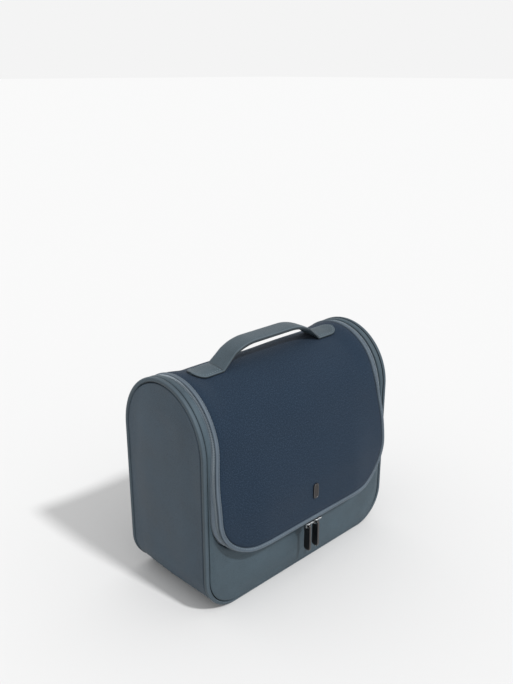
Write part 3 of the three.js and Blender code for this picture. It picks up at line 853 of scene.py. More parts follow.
@dataclass(frozen=True)
class Cloth(Finish):
    """Woven cloth: yarns, light flecks, faint patches and a soft sheen."""

    name: str
    colour: tuple[float, float, float, float]
    fleck: tuple[float, float, float, float]
    yarns: float = 900.0
    slant: float = 0.0
    fleck_size: float = 520.0
    fleck_share: float = 0.75
    depth: float = 0.6
    roughness: float = 0.88
    sheen: float = 0.25
    holes: float = 0.0

    def build(self, weave: bpy.types.NodeTree) -> bpy.types.Material:
        """Build the material.

        Args:
            weave: the weave group.

        Returns:
            The material.
        """
        material, make, shader = self.start()
        place = make.add("ShaderNodeTexCoord")
        group = make.add("ShaderNodeGroup", node_tree=weave)
        make.tree.links.new(place.outputs["UV"], group.inputs["Vector"])
        group.inputs["Yarns"].default_value = self.yarns
        group.inputs["Slant"].default_value = self.slant
        group.inputs["Fleck_size"].default_value = self.fleck_size
        dark = toned(self.colour, 0.72)
        tone = make.blend(group.outputs["Yarn"], dark, self.colour)
        tone = make.blend(make.maths("MULTIPLY", group.outputs["Fleck"], self.fleck_share), tone, self.fleck)
        tone = make.blend(make.maths("MULTIPLY", group.outputs["Cloud"], 0.18), tone, dark)
        bump = make.add(
            "ShaderNodeBump",
            {"Height": group.outputs["Height"], "Strength": self.depth, "Distance": 0.0003},
        )
        rough = make.ranged(group.outputs["Fleck"], 0.0, 1.0, self.roughness, self.roughness - 0.1)
        self.join(make, shader, Base_Color=tone, Roughness=rough, Normal=bump.outputs[0])
        self.join(make, shader, Sheen_Weight=self.sheen, Sheen_Roughness=0.5, Specular_IOR_Level=0.2)
        if self.holes > 0:
            cell = make.ranged(group.outputs["Yarn"], self.holes, self.holes + 0.12, 1.0, 0.0)
            self.join(make, shader, Alpha=make.maths("SUBTRACT", 1.0, cell))
        return material


@dataclass(frozen=True)
class Metal(Finish):
    """Plated metal: fine brushing, faint smudges in its gloss, and painted highlights on the edges the
    attribute marks.
    """

    name: str
    colour: tuple[float, float, float, float]
    roughness: float = 0.25
    metallic: float = 1.0

    def build(self, grain: bpy.types.NodeTree) -> bpy.types.Material:
        """Build the material.

        Args:
            grain: the leather grain group, whose broad patches serve as smudges.

        Returns:
            The material.
        """
        material, make, shader = self.start()
        place = make.add("ShaderNodeTexCoord")
        group = make.add("ShaderNodeGroup", node_tree=grain)
        make.tree.links.new(place.outputs["Object"], group.inputs["Vector"])
        stretch = make.add("ShaderNodeMapping", {0: place.outputs["Object"], "Scale": (400.0, 400.0, 9000.0)})
        brush = make.add("ShaderNodeTexNoise", {"Vector": stretch.outputs[0], "Scale": 1.0, "Detail": 2.0})
        wear_and_painted_light = make.add("ShaderNodeAttribute", attribute_name="wear_and_painted_light").outputs["Fac"]
        # Painted highlight: marked edges are lightened.
        tone = make.blend(make.maths("MULTIPLY", wear_and_painted_light, 0.5), self.colour, toned(self.colour, 1.5, 0.05))
        smudge = make.maths("MULTIPLY", group.outputs["Cloud"], 0.12)
        rough = make.maths("ADD", make.maths("MULTIPLY", brush.outputs[0], 0.08), self.roughness - 0.08)
        rough = make.maths("ADD", rough, smudge)
        bump = make.add("ShaderNodeBump", {"Height": brush.outputs[0], "Strength": 0.08, "Distance": 0.0001})
        self.join(make, shader, Base_Color=tone, Roughness=rough, Normal=bump.outputs[0])
        self.join(make, shader, Metallic=self.metallic)
        return material


@dataclass(frozen=True)
class Thread(Finish):
    """Twisted sewing thread or moulded coil: slanting strands in its colour and bump."""

    name: str
    colour: tuple[float, float, float, float]
    strands: float = 2200.0
    roughness: float = 0.55

    def build(self) -> bpy.types.Material:
        """Build the material."""
        material, make, shader = self.start()
        place = make.add("ShaderNodeTexCoord")
        turned = make.add("ShaderNodeMapping", {0: place.outputs["Object"], "Rotation": (0.6, 0.7, 0.5)})
        wave = make.add(
            "ShaderNodeTexWave", {"Vector": turned.outputs[0], "Scale": self.strands, "Distortion": 1.0}
        )
        tone = make.blend(wave.outputs["Fac"], toned(self.colour, 0.7), self.colour)
        bump = make.add(
            "ShaderNodeBump", {"Height": wave.outputs["Fac"], "Strength": 0.3, "Distance": 0.0001}
        )
        rough = make.ranged(wave.outputs["Fac"], 0.0, 1.0, self.roughness + 0.08, self.roughness)
        self.join(make, shader, Base_Color=tone, Roughness=rough, Normal=bump.outputs[0])
        return material


class Wardrobe:
    """Every finish of the bag, built once."""

    def __init__(self) -> None:
        """Build the node groups and the materials."""
        grain = build_grain_group()
        weave = build_weave_group()
        self.front = Leather("front_leather", linear(61, 76, 85), linear(86, 101, 110)).build(grain)
        # The side walls' leather is tinted bluer than the front's: a painted tint of the bluish light on the
        # shaded sides.
        self.gusset = Leather("gusset_leather", linear(55, 70, 82), linear(74, 89, 101)).build(grain)
        self.band = Leather("band_leather", linear(60, 74, 83), linear(88, 101, 110), 1100.0).build(grain)
        self.binding = Leather(
            "binding_leather", linear(76, 88, 99), linear(98, 110, 121), pebble=1200.0
        ).build(grain)
        self.handle = Leather("handle_leather", linear(64, 77, 85), linear(84, 97, 105)).build(grain)
        self.navy = Cloth(
            "navy_cloth", linear(22, 39, 56), linear(44, 64, 84), 650.0, 0.35, 800.0, 0.5, sheen=0.05
        ).build(weave)
        self.lining = Cloth(
            "lining_cloth", linear(58, 68, 80), linear(72, 83, 95), yarns=1400.0, fleck_share=0.25, depth=0.3
        ).build(weave)
        self.mesh = Cloth(
            "pocket_mesh", linear(62, 74, 86), linear(84, 96, 108), yarns=330.0, fleck_share=0.2, holes=0.16
        ).build(weave)
        self.elastic = Cloth(
            "elastic", linear(48, 58, 70), linear(66, 77, 90), yarns=700.0, fleck_share=0.3, depth=0.9
        ).build(weave)
        self.tape = Cloth(
            "zip_tape", linear(120, 134, 147), linear(138, 151, 163), yarns=1100.0, fleck_share=0.3, depth=0.7
        ).build(weave)
        self.coil = Thread("zip_coil", linear(134, 145, 153), strands=900.0, roughness=0.42).build()
        self.thread = Thread("sewing_thread", linear(104, 118, 127)).build()
        self.board = Leather("board", linear(70, 72, 74), linear(92, 94, 96), 2600.0, 0.12).build(grain)
        self.bright = Metal("bright_metal", linear(165, 168, 170), 0.34).build(grain)
        self.dark = Metal("dark_metal", linear(70, 68, 68), 0.3).build(grain)


def finish_piece(
    piece: bpy.types.Object, material: bpy.types.Material, slot: Slot, body: Body | str | None, *nodes: str
) -> None:
    """Give a piece its material and body, and hide the nodes it stands for.

    Args:
        piece: the piece.
        material: its finish.
        slot: the record's slot; not used.
        body: the body it rides on, or None where it spans two and is left unattached.
        nodes: nodes of the frame it replaces.
    """
    piece.data.materials.append(material)
    if body is not None:
        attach(piece, body.value if isinstance(body, Body) else body)
    if nodes:
        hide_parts(*nodes)


# ---- Stitching ---------------------------------------------------------------------------------


def stitch_row(line: np.ndarray, up: np.ndarray, pitch: float, length: float, width: float = 0.75) -> Surface:
    """Stitches evenly spaced along a line: each a low bead sunk by a third into what it is sewn to.

    Args:
        line: points along the seam, (points, 3).
        up: the outward direction at each, (points, 3).
        pitch: distance from one stitch to the next.
        length: length of a stitch.
        width: thickness of the thread.

    Returns:
        The stitches as one surface.
    """
    distance = np.concatenate([[0.0], np.cumsum(np.linalg.norm(np.diff(line, axis=0), axis=1))])
    at = np.arange(pitch / 2, distance[-1], pitch)
    ends = [at - length / 2, at + length / 2]
    start, end = (np.stack([np.interp(e, distance, line[:, k]) for k in range(3)], axis=1) for e in ends)
    rise = np.stack([np.interp(at, distance, up[:, k]) for k in range(3)], axis=1)
    along = end - start
    along /= np.linalg.norm(along, axis=1, keepdims=True)
    side = np.cross(rise, along)
    side /= np.linalg.norm(side, axis=1, keepdims=True)
    rise = np.cross(along, side)
    return scatter(bead(length, width, width), (start + end) / 2, np.stack([along, side, rise], axis=1))


def puckered(x: np.ndarray, y: np.ndarray, size: float, wave: float) -> np.ndarray:
    """Slow uneven swells in a sewn panel: the sum of three crossing sines of about one wavelength.

    Args:
        x: first flat coordinate.
        y: second flat coordinate.
        size: greatest height.
        wave: wavelength.

    Returns:
        The height at each point.
    """
    k = 2 * np.pi / wave
    first = np.sin(k * x + 1.3 * np.sin(0.6 * k * y + 0.7))
    second = np.sin(0.8 * k * y + 1.1 * np.sin(0.5 * k * x + 2.1))
    third = np.sin(0.55 * k * (x + y) + 0.4)
    return size * (first + second + third) / 3


# ---- The outer case ----------------------------------------------------------------------------


@dataclass
class Case:
    """Gussets, edge bands, front, back and base: the leather shell that stands on the table."""

    size: BagSize
    girth: Girth
    zip_line: ZipLine
    wardrobe: Wardrobe
    thick: float = 1.6
    seam_depth: float = 2.2
    seam_width: float = 1.7
    gusset_puff: float = 1.4
    band_side: float = 3.4
    band_proud: float = 0.7
    band_tuck: float = 1.9
    stitch_pitch: float = 3.3
    stitch_length: float = 2.1
    stitch_width: float = 0.6
    fold_share: float = 0.55
    back_taper: float = 16.0

    def gusset_grid(self, edge: float, inset: float, seam: float, puff: float) -> tuple[np.ndarray, ...]:
        """Flat grid of a side wall that turns under the bag, and how far each point lies inside its width.

        A row runs from the front edge over the middle to the back edge. Rows go up from the base; round the
        arch they fan out and fold on the middle line, where the two halves meet.

        Args:
            edge: distance of the wall's edge inside the girth.
            inset: distance of the wall inside the bag's width.
            seam: depth that its edge dives into the seam.
            puff: how far its middle swells outwards.

        Returns:
            Rows of (y, height along the wall from the base), the depth inside the width, and 1 at the seam,
            where shade is painted, fading towards the rear.
        """
        size = self.size
        depth = size.half_depth - edge
        rise = size.height - size.spring - edge
        arc = size.corner * QUARTER
        upright = np.linspace(arc, arc + size.spring - size.corner, 40)[1:]
        straight = np.concatenate([np.linspace(0, arc, 26), upright])
        turn = np.linspace(0.0, QUARTER, 44)[1:]
        edge_y = np.concatenate([0 * straight + depth, depth * np.cos(turn)])
        edge_h = np.concatenate([straight, straight[-1] + rise * np.sin(turn)])
        middle_h = np.concatenate([straight, straight[-1] + self.fold_share * rise * np.sin(turn)])
        outwards = np.sin(np.linspace(0, QUARTER, 27))
        share = np.concatenate([outwards[::-1], outwards[1:]])
        side = np.sign(np.linspace(-1, 1, len(share)))
        y = edge_y[:, None] * share[None] * side[None]
        h = mix(middle_h[:, None], edge_h[:, None], share[None])
        off = np.hypot(edge_y[:, None] * (1 - share), (edge_h - middle_h)[:, None] * (1 - share))
        rear = smooth(y, REAR_FROM, REAR_TO)
        dive = seam * (1 - smooth(off, 0.0, self.seam_width)) ** 1.5 * (1 - 0.85 * rear)
        swell = puff * smooth(off, 2.0, 30.0) * smooth(h, 5.0, 90.0)
        swell = swell + puckered(y, h, 0.5 * puff, 85.0) * smooth(off, 2.0, 16.0)
        # The last value is a mask of painted shade along the seam, faded towards the rear.
        return np.stack([y, h], axis=-1), inset + dive - swell, smooth(-off, -1.3, 0.0) * (1 - 0.9 * rear)

    def wall(self, flat: np.ndarray, depth: np.ndarray, side: float) -> np.ndarray:
        """Bend a side wall round the bag's bottom corner: a quarter circle, then straight up.

        Args:
            flat: (y, height along the wall) of each point.
            depth: distance inside the bag's width.
            side: -1 for left, 1 for right.

        Returns:
            Points (..., 3).
        """
        size = self.size
        arc = size.corner * QUARTER
        turn = np.clip(flat[..., 1] / size.corner, 0, QUARTER)
        up = np.maximum(flat[..., 1] - arc, 0)
        radius = size.corner - depth
        x = size.half_width - size.corner + radius * np.sin(turn)
        z = size.corner - radius * np.cos(turn) + up
        return np.stack([side * x, flat[..., 0], np.maximum(z, 0.0)], axis=-1)

    def side_wall(
        self, name: str, side: float, edge: float, inset: float, thick: float, seam: float, puff: float
    ) -> bpy.types.Object:
        """Build one side wall as a closed shell between an outer and an inner skin.

        Args:
            name: the piece's name.
            side: -1 for left, 1 for right.
            edge: distance of the wall's edge inside the girth.
            inset: distance of the wall inside the bag's width.
            thick: its thickness.
            seam: depth that its edge dives into the seam.
            puff: how far its middle swells outwards.

        Returns:
            The piece.
        """
        flat, depth, edge_mask = self.gusset_grid(edge, inset, seam, puff)
        outer = self.wall(flat, depth, side)
        inner = self.wall(flat, depth + thick, side)
        rings = np.concatenate([outer, inner[:, ::-1]], axis=1)
        coordinates = np.concatenate([flat, flat[:, ::-1]], axis=1).reshape(-1, 2)
        faces = loft(rings, caps=(True, False))
        # Negative: painted shade along the seam.
        wear_and_painted_light = -np.concatenate([edge_mask, edge_mask[:, ::-1]], axis=1).reshape(-1)
        surface = Surface(rings.reshape(-1, 3), faces, coordinates, wear_and_painted_light).facing_out()
        return make_piece(name, surface, sharp=50, weld=0.01)

    def edge_line(self, side: float) -> dict[str, np.ndarray]:
        """Half of the bag's outline, from the middle of the front's foot over the arch to the back's foot."""
        size, girth = self.size, self.girth
        centre = size.half_width - size.corner
        turn = np.linspace(0, QUARTER, 30)
        foot = np.linspace(GAP / 2, centre, 20)[:-1]
        climb = np.concatenate(
            [np.linspace(size.corner, size.spring, 40)[1:], np.linspace(size.spring, girth.crest, 60)[1:]]
        )
        x = np.concatenate([foot, centre + size.corner * np.sin(turn), 0 * climb + size.half_width])
        s = np.concatenate([0 * foot, size.corner * (1 - np.cos(turn)), climb])
        in_x = np.concatenate([0 * foot, -np.sin(turn), 0 * climb - 1])
        in_s = np.concatenate([1 + 0 * foot, np.cos(turn), 0 * climb])
        back = slice(-2, None, -1)
        return {
            "x": side * np.concatenate([x, x[back]]),
            "s": np.concatenate([s, girth.length - s[back]]),
            "in_x": side * np.concatenate([in_x, in_x[back]]),
            "in_s": np.concatenate([in_s, -in_s[back]]),
        }

    def build_band(self, name: str, side: float) -> None:
        """Build one edge band: a rounded roll along the outline, with a row of stitches beside the panel."""
        line = self.edge_line(side)
        centre = (self.size.band / 2, -self.band_side / 2)
        ring = roll_section(centre, (self.size.band / 2, self.band_side / 2 + self.band_proud), 3.0, 32)
        a = ring[:, 0]
        upright = np.abs(line["in_x"])[:, None]
        lift = ring[:, 1] + 0.4 * self.band_proud - self.band_tuck * (1 - upright)
        wide_a = a - self.band_proud * upright * smooth(-a, -centre[0], 0.0)
        x = line["x"][:, None] + wide_a * line["in_x"][:, None]
        s = line["s"][:, None] + wide_a * line["in_s"][:, None]
        rings = self.girth.place(x, s, lift)
        rear = smooth(rings[..., 1], REAR_FROM, REAR_TO)
        # Painted shade in the seams beside the front panel and the side wall, faded towards the rear.
        front_seam = smooth(a, self.size.band - 0.55, self.size.band - 0.05) * smooth(upright, 0.1, 0.7)
        side_seam = smooth(-ring[:, 1], self.band_side - 0.6, self.band_side) * (1 - 0.9 * rear)
        # The roll's top is worn lighter; the doubling towards the rear is a painted highlight.
        wear_and_painted_light = smooth(ring[:, 1], -0.9, 0.3) * smooth(-a, -2.0, -0.2) * (0.5 + 0.5 * rear)
        wear_and_painted_light = wear_and_painted_light - np.clip(front_seam + side_seam, 0, 1)
        piece = make_piece(f"edge_band_soft_{name}", lofted(rings, np.stack([x, s], -1), wear_and_painted_light))
        finish_piece(piece, self.wardrobe.band, Slot.EDGE, Body.CASE, f"edge_band_{name}")
        seam = self.size.band - 0.75
        line_x = line["x"] + seam * line["in_x"]
        line_s = line["s"] + seam * line["in_s"]
        points = self.girth.place(line_x, line_s, 0 * line_x + 0.25)
        up = self.girth.normal(line_s)
        stitches = stitch_row(points, up, self.stitch_pitch, self.stitch_length, self.stitch_width)
        sewn = make_piece(f"edge_stitches_{name}", stitches)
        finish_piece(sewn, self.wardrobe.thread, Slot.EDGE, Body.CASE)

    def build_front(self) -> None:
        """Build the front panel: a U-shaped strip of leather between the edge bands and the zip."""
        line = self.zip_line
        place = line.at(line.stations())
        section = strip_section(self.thick, 0.8, 0.3, 28, arc=4)
        outer = np.stack([place["outer_x"], place["outer_s"]], -1)[:, None]
        inner = np.stack([place["x"], place["s"]], -1)[:, None]
        width = np.linalg.norm(inner - outer, axis=-1)
        share = section.share + section.shift / width
        flat = outer + (inner - outer) * share[..., None]
        off = np.minimum(share, 1 - share) * width
        swell = 0.7 * smooth(off, 0.0, 1.8) + 1.0 * smooth(off, 2.0, 16.0)
        swell = swell + puckered(flat[..., 0], flat[..., 1], 0.35, 90.0) * smooth(off, 0, 12)
        lift = section.lift + section.top * swell
        rings = self.girth.place(flat[..., 0], flat[..., 1], lift)
        foot = (share < 0.5) * (1 - smooth(np.abs(flat[..., 0]), 80.0, 105.0))
        # Painted shade along the panel's seams, weaker on the zip side and left out along the foot.
        wear_and_painted_light = -smooth(-off, -0.75, 0.0) * section.top * (1 - foot) * np.where(share < 0.5, 1.0, 0.3)
        piece = make_piece("front_panel_soft", lofted(rings, flat, wear_and_painted_light))
        finish_piece(piece, self.wardrobe.front, Slot.FRONT, Body.CASE, "front_panel")

    def build_back(self) -> None:
        """Build the back panel: a slightly full sheet of leather with rounded lower corners."""
        size = self.size
        reach = size.half_width - size.panel_half
        radius = size.corner - reach
        turn = np.linspace(0.02, QUARTER, 24)
        upright = np.linspace(size.corner, size.spring - GAP, 50)[1:]
        height = np.concatenate([size.corner - radius * np.cos(turn), upright])
        turn = np.concatenate([turn, np.full(len(upright), QUARTER)])
        half = size.panel_half - radius * (1 - np.sin(turn))
        section = strip_section(self.thick, 0.7, 0.3, 40)
        share = section.share[None] + section.shift[None] / (2 * half[:, None])
        x = (2 * share - 1) * half[:, None]
        tall = height[:, None] + 0 * x
        off = np.minimum(half[:, None] - np.abs(x), np.minimum(tall - reach, size.spring - tall + 6))
        swell = 1.3 * smooth(off, 0, 40) + puckered(x, tall, 0.5, 80.0) * smooth(off, 0, 15)
        swell = swell * smooth(size.spring - tall, 0.0, self.back_taper)
        rings = self.girth.place(x, self.girth.length - tall, section.lift + section.top * swell)
        surface = lofted(rings, np.stack([x, tall], -1), section.wear_and_painted_light * section.top)
        piece = make_piece("back_panel_soft", surface)
        finish_piece(piece, self.wardrobe.front, Slot.FRONT, Body.CASE, "back_panel")

    def build_base(self) -> None:
        """Build the base panel: flat leather with rounded edges."""
        low, high = corners("base_panel")
        piece = flat_panel("base_panel_soft", low, high, 0.6)
        finish_piece(piece, self.wardrobe.gusset, Slot.GUSSET, Body.CASE, "base_panel")

    def build(self) -> None:
        """Build and dress every piece of the case."""
        for name, side in SIDES.items():
            edge = self.band_side + GAP
            layers = (edge, 0.0, self.thick, self.seam_depth, self.gusset_puff)
            wall = self.side_wall(f"side_gusset_soft_{name}", side, *layers)
            finish_piece(wall, self.wardrobe.gusset, Slot.GUSSET, Body.CASE, f"side_gusset_{name}")
            self.build_band(name, side)
        self.build_front()
        self.build_back()
        self.build_base()


def flat_panel(
    name: str, low: np.ndarray, high: np.ndarray, rounding: float, swell: float = 0.0
) -> bpy.types.Object:
    """Build a level panel with rounded edges that fills a box.

    Args:
        name: the piece's name.
        low: the box's lowest corner.
        high: its highest corner.
        rounding: radius of its edges.
        swell: height of the uneven swells in its upper face.

    Returns:
        The piece.
    """
    width, depth, thick = high - low
    section = strip_section(thick, rounding, rounding, 24)
    y = low[1] + depth * np.linspace(0, 1, 30)
    x = low[0] + section.share * width + section.shift
    wide_x, wide_y = np.meshgrid(x, y)
    lift = puckered(wide_x, wide_y, swell, 60.0) * section.top
    z = high[2] + section.lift[None] + lift - swell * section.top
    return make_piece(name, lofted(np.stack([wide_x, wide_y, z], -1), np.stack([wide_x, wide_y], -1)))


# ---- The zip -----------------------------------------------------------------------------------


@dataclass
class Zip:
    """Both halves of the zip: woven tapes, rows of coil teeth, and patches over the two ends."""

    line: ZipLine
    wardrobe: Wardrobe
    tape_seam: float = 4.0
    tape_top: float = -1.1
    tape_thick: float = 0.6
    tape_fill: float = 0.7
    tooth_pitch: float = 1.5
    tooth_width: float = 0.62
    tooth_reach: float = 2.1
    tooth_height: float = 1.5
    patch_round: float = 2.0
    patch_seam: float = 1.4

    def build_tape(self, lid_side: bool) -> None:
        """Build one tape: a thin strip along the zip, under its row of teeth."""
        place = self.line.at(self.line.stations())
        cut = self.line.section(place)
        if lid_side:
            start = cut["middle"] + GAP / 2
            end = cut["length"] + self.tape_seam * smooth(cut["across_a"], 0.995, 1.0)
        else:
            start = 0 * cut["middle"] - self.tape_seam
            end = cut["middle"] - GAP / 2
        section = strip_section(self.tape_thick, 0.2, 0.2, 8, arc=2)
        width = (end - start)[:, None]
        along = start[:, None] + section.share * width + section.shift
        upright = 1 - smooth(cut["across_a"], 0.9, 0.995)[:, None]
        filled = self.tape_fill * (1 - smooth(along, 1.0, 3.5)) * upright
        rings = self.line.on_section(place, along, self.tape_top + filled + section.lift[None])
        run = self.line.stations()[:, None] + 0 * along
        body = Body.LID if lid_side else Body.CASE
        side = "lid" if lid_side else "case"
        piece = make_piece(f"zip_tape_woven_{side}", lofted(rings, np.stack([along, run], -1)))
        finish_piece(piece, self.wardrobe.tape, Slot.TAPE, body, f"zip_tape_{body.value}")

    def build_teeth(self, lid_side: bool) -> None:
        """Build one row of coil teeth: rounded loops across the zip that mesh with the other row's."""
        count = int(self.line.length / self.tooth_pitch)
        run = (np.arange(count) + (0.75 if lid_side else 0.25)) * self.tooth_pitch
        place = self.line.at(run)
        cut = self.line.section(place)
        sign = 1.0 if lid_side else -1.0
        middle = cut["middle"][:, None] + sign * (self.tooth_reach / 2 - 0.5)
        centre = self.line.on_section(place, middle, 0 * middle)[:, 0]
        across_to = self.line.on_section(place, middle + 1.0, 0 * middle)[:, 0]
        above = self.line.on_section(place, middle, 0 * middle + 1.0)[:, 0]
        across = across_to - centre
        up = above - centre
        along = np.cross(up, across)
        axes = np.stack([across, along, up], axis=1)
        tooth = bead(self.tooth_reach, self.tooth_width, self.tooth_height, rows=5, sides=6)
        body = Body.LID if lid_side else Body.CASE
        side = "lid" if lid_side else "case"
        piece = make_piece(f"zip_teeth_{side}", scatter(tooth, centre, axes))
        finish_piece(piece, self.wardrobe.coil, Slot.COIL, body, f"zip_coil_{body.value}")

    def build_end_patch(self, name: str) -> None:
        """Build the leather patch over one end of the zip, with a stitched border."""
        node = f"zip_end_tab_{name}"
        low, high = corners(node)
        section = strip_section(high[1] - low[1], 0.5, 0.3, 8)
        turn = np.linspace(0.05, QUARTER, 8)
        tall = high[2] - low[2]
        rise = self.patch_round * (1 - np.cos(turn))
        rise = np.concatenate([rise, tall - rise[::-1]])
        pinch = self.patch_round * (1 - np.sin(turn))
        pinch = np.concatenate([pinch, pinch[::-1]])[:, None]
        width = high[0] - low[0]
        x = low[0] + pinch + section.share * (width - 2 * pinch) + section.shift
        z = low[2] + rise[:, None] + 0 * x
        rings = np.stack([x, high[1] + section.lift + 0 * x, z], axis=-1)
        piece = make_piece(f"zip_end_patch_{name}", lofted(rings, wear_and_painted_light=section.wear_and_painted_light * section.top))
        finish_piece(piece, self.wardrobe.front, Slot.FRONT, Body.CASE, node)
        first, last = low + self.patch_seam, high - self.patch_seam
        frame_x = np.array([first[0], last[0], last[0], first[0], first[0]])
        frame_z = np.array([first[2], first[2], last[2], last[2], first[2]])
        corner = np.stack([frame_x, 0 * frame_x + high[1] + 0.05, frame_z], axis=-1)
        up = np.tile([0.0, 1.0, 0.0], (5, 1))
        sewn = make_piece(f"zip_end_stitches_{name}", stitch_row(corner, up, 2.2, 1.5, 0.5))
        finish_piece(sewn, self.wardrobe.thread, Slot.FRONT, Body.CASE)

    def build(self) -> None:
        """Build and dress every piece of the zip."""
        for lid_side in (False, True):
            self.build_tape(lid_side)
            self.build_teeth(lid_side)
        for name in SIDES:
            self.build_end_patch(name)


# ---- The lid -----------------------------------------------------------------------------------


@dataclass
class Lid:
    """The zipped lid: woven panel, leather binding, lining, flat pocket and plaque."""

    shape: LidShape
    line: ZipLine
    wardrobe: Wardrobe
    thick: float = 1.6
    lining: float = LINING_THICK
    lining_lift: float = -2.9
    pocket_lift: float = -5.1
    pocket_low: float = 78.0
    pocket_high: float = 150.0
    pocket_half: float = 92.0
    pocket_hem: float = 8.0
    lining_margin: float = 4.0
    hinge_drop: float = 1.1

    def rows(self, margin: float) -> np.ndarray:
        """Places along the girth for the rows of a lid sheet, from its foot to the hinge."""
        shape = self.shape
        radius = shape.corner - shape.reveal_front - margin
        centre = shape.bottom + shape.corner
        turn = np.linspace(0.03, QUARTER, 26)
        straight = np.linspace(centre, shape.girth.hinge - GAP, 150)[1:]
        return np.concatenate([centre - radius * np.cos(turn), straight])

    def sheet(
        self, name: str, margin: float, lift: float, thick: float, rounding: float, dip: float, swell: float
    ) -> bpy.types.Object:
        """Build a sheet that follows the lid's bulge.

        Args:
            name: the piece's name.
            margin: distance inside the lid's edge.
            lift: its upper face above the lid's own surface.
            thick: its thickness.
            rounding: radius of its edges.
            dip: depth that its border is pulled down.
            swell: height of the uneven swells in its face.

        Returns:
            The piece.
        """
        s = self.rows(margin)[:, None]
        half = self.shape.edge_half(s, margin)
        section = strip_section(thick, rounding, min(rounding, 0.2), 80)
        share = section.share + section.shift / (2 * half)
        x = (2 * share - 1) * half
        s = s + 0 * x
        foot = s - s.min()
        off = np.minimum(half - np.abs(x), foot + 0.4)
        free = smooth(self.shape.girth.hinge - s, 0.0, HINGE_TAPER)
        rise = -dip * (1 - free * smooth(off, 0.0, 6.0))
        rise = rise + puckered(x, s, swell, 95.0) * free * smooth(off, 2.0, 30.0)
        height = lift + section.lift + rise + self.shape.bulge(x, s)
        rings = self.shape.girth.place(x, s, height)
        return make_piece(name, lofted(rings, np.stack([x, s], -1), section.wear_and_painted_light * section.top))

    def build_panel(self) -> None:
        """Build the woven panel, full in the middle and drawn down along its binding."""
        margin = self.shape.binding + GAP
        piece = self.sheet("lid_panel_woven", margin, 0.0, self.thick, 0.7, 0.5, 0.6)
        finish_piece(piece, self.wardrobe.navy, Slot.NAVY, Body.LID, "flap_panel")

    def binding_place(self, a: np.ndarray, place: dict[str, np.ndarray], lift: np.ndarray) -> np.ndarray:
        """Points of the lid's border, a inwards from its edge and lift above the lid's own surface."""
        a = a + self.shape.reveal(place["s"])[:, None]
        x = place["x"][:, None] + a * place["in_x"][:, None]
        s = place["s"][:, None] + a * place["in_s"][:, None]
        return self.shape.girth.place(x, s, lift + self.shape.bulge(x, s))

    def build_binding(self) -> None:
        """Build the leather binding, a rolled strip round the lid's edge, and its row of stitches."""
        stations = self.line.stations()
        place = self.line.at(stations)
        width = self.shape.binding
        ring = roll_section((width / 2 - 0.2, -1.1), (width / 2 + 0.2, 1.9), 2.3, 32)
        a = ring[None, :, 0] + np.zeros((len(stations), 1))
        near_hinge = 1 - smooth(self.shape.girth.hinge - place["s"], 0.0, HINGE_TAPER)
        lower = self.hinge_drop * near_hinge[:, None]
        points = self.binding_place(a, place, ring[None, :, 1] - lower)
        wear_and_painted_light = smooth(ring[:, 1], -0.6, 0.2) * (1 - smooth(ring[:, 0], 0.2, 1.6))
        flat = np.stack([a, stations[:, None] + 0 * a], -1)
        piece = make_piece("lid_binding_rolled", lofted(points, flat, wear_and_painted_light))
        finish_piece(piece, self.wardrobe.binding, Slot.EDGE, Body.LID, "flap_binding")
        seam = np.full((len(stations), 1), width - 0.95)
        points = self.binding_place(seam, place, 0.5 - lower)
        above = self.binding_place(seam, place, 1.5 - lower)
        stitches = stitch_row(points[:, 0], (above - points)[:, 0], 3.1, 2.0, 0.55)
        sewn = make_piece("lid_binding_stitches", stitches)
        finish_piece(sewn, self.wardrobe.thread, Slot.EDGE, Body.LID)

    def patch(self, name: str, low: float, high: float, thick: float, swell: float) -> bpy.types.Object:
        """Build a flat piece of the lid's pocket, between two places along the girth.

        Args:
            name: the piece's name.
            low: its foot along the girth.
            high: its top.
            thick: its thickness.
            swell: height of the uneven swells in its face.

        Returns:
            The piece.
        """
        section = strip_section(thick, 0.25, 0.25, 60, arc=2)
        s = np.linspace(low, high, 36)[:, None]
        x = (2 * section.share - 1) * self.pocket_half + section.shift + 0 * s
        s = s + 0 * x
        wave = puckered(x, s, swell, 36.0)
        height = self.pocket_lift + section.lift + wave + self.shape.bulge(x, s)
        return make_piece(name, lofted(self.shape.girth.place(x, s, height), np.stack([x, s], -1)))

    def build_inside(self) -> None:
        """Build the lid's lining, and a flat pocket with a hem across its top."""
        margin = self.shape.binding + GAP + self.lining_margin
        lining = self.sheet("lid_lining_cloth", margin, self.lining_lift, self.lining, 0.25, 0.0, 0.3)
        finish_piece(lining, self.wardrobe.lining, Slot.LINING, Body.LID, "flap_lining")
        pocket = self.patch("lid_pocket_net", self.pocket_low, self.pocket_high, self.lining, 0.35)
        finish_piece(pocket, self.wardrobe.mesh, Slot.MESH, Body.LID, "flap_pocket")
        hem_low = self.pocket_high + GAP
        hem = self.patch("lid_pocket_hem", hem_low, hem_low + self.pocket_hem, self.thick, 0.2)
        finish_piece(hem, self.wardrobe.elastic, Slot.EDGE, Body.LID, "flap_pocket_binding")

    def build_plaque(self) -> None:
        """Build the small plain plaque: a plate with rounded corners, a raised border and a sunk middle."""
        low, high = corners("badge")
        width, tall = high[0] - low[0], high[2] - low[2]
        centre_s = float((low[2] + high[2]) / 2)
        insets = np.array([0.0, 0.0, 0.15, 0.75, 1.0, 1.5, 3.4])
        lifts = np.array([0.0, 0.75, 1.0, 1.0, 0.72, 0.72, 0.8])
        squarer = squarish(around(48), 4.5)
        x = squarer[None, :, 0] * np.maximum(width / 2 - insets, 0.08)[:, None]
        s = centre_s + squarer[None, :, 1] * (tall / 2 - insets)[:, None]
        height = GAP + lifts[:, None] + self.shape.bulge(x, s)
        rings = self.shape.girth.place(x, s, height)
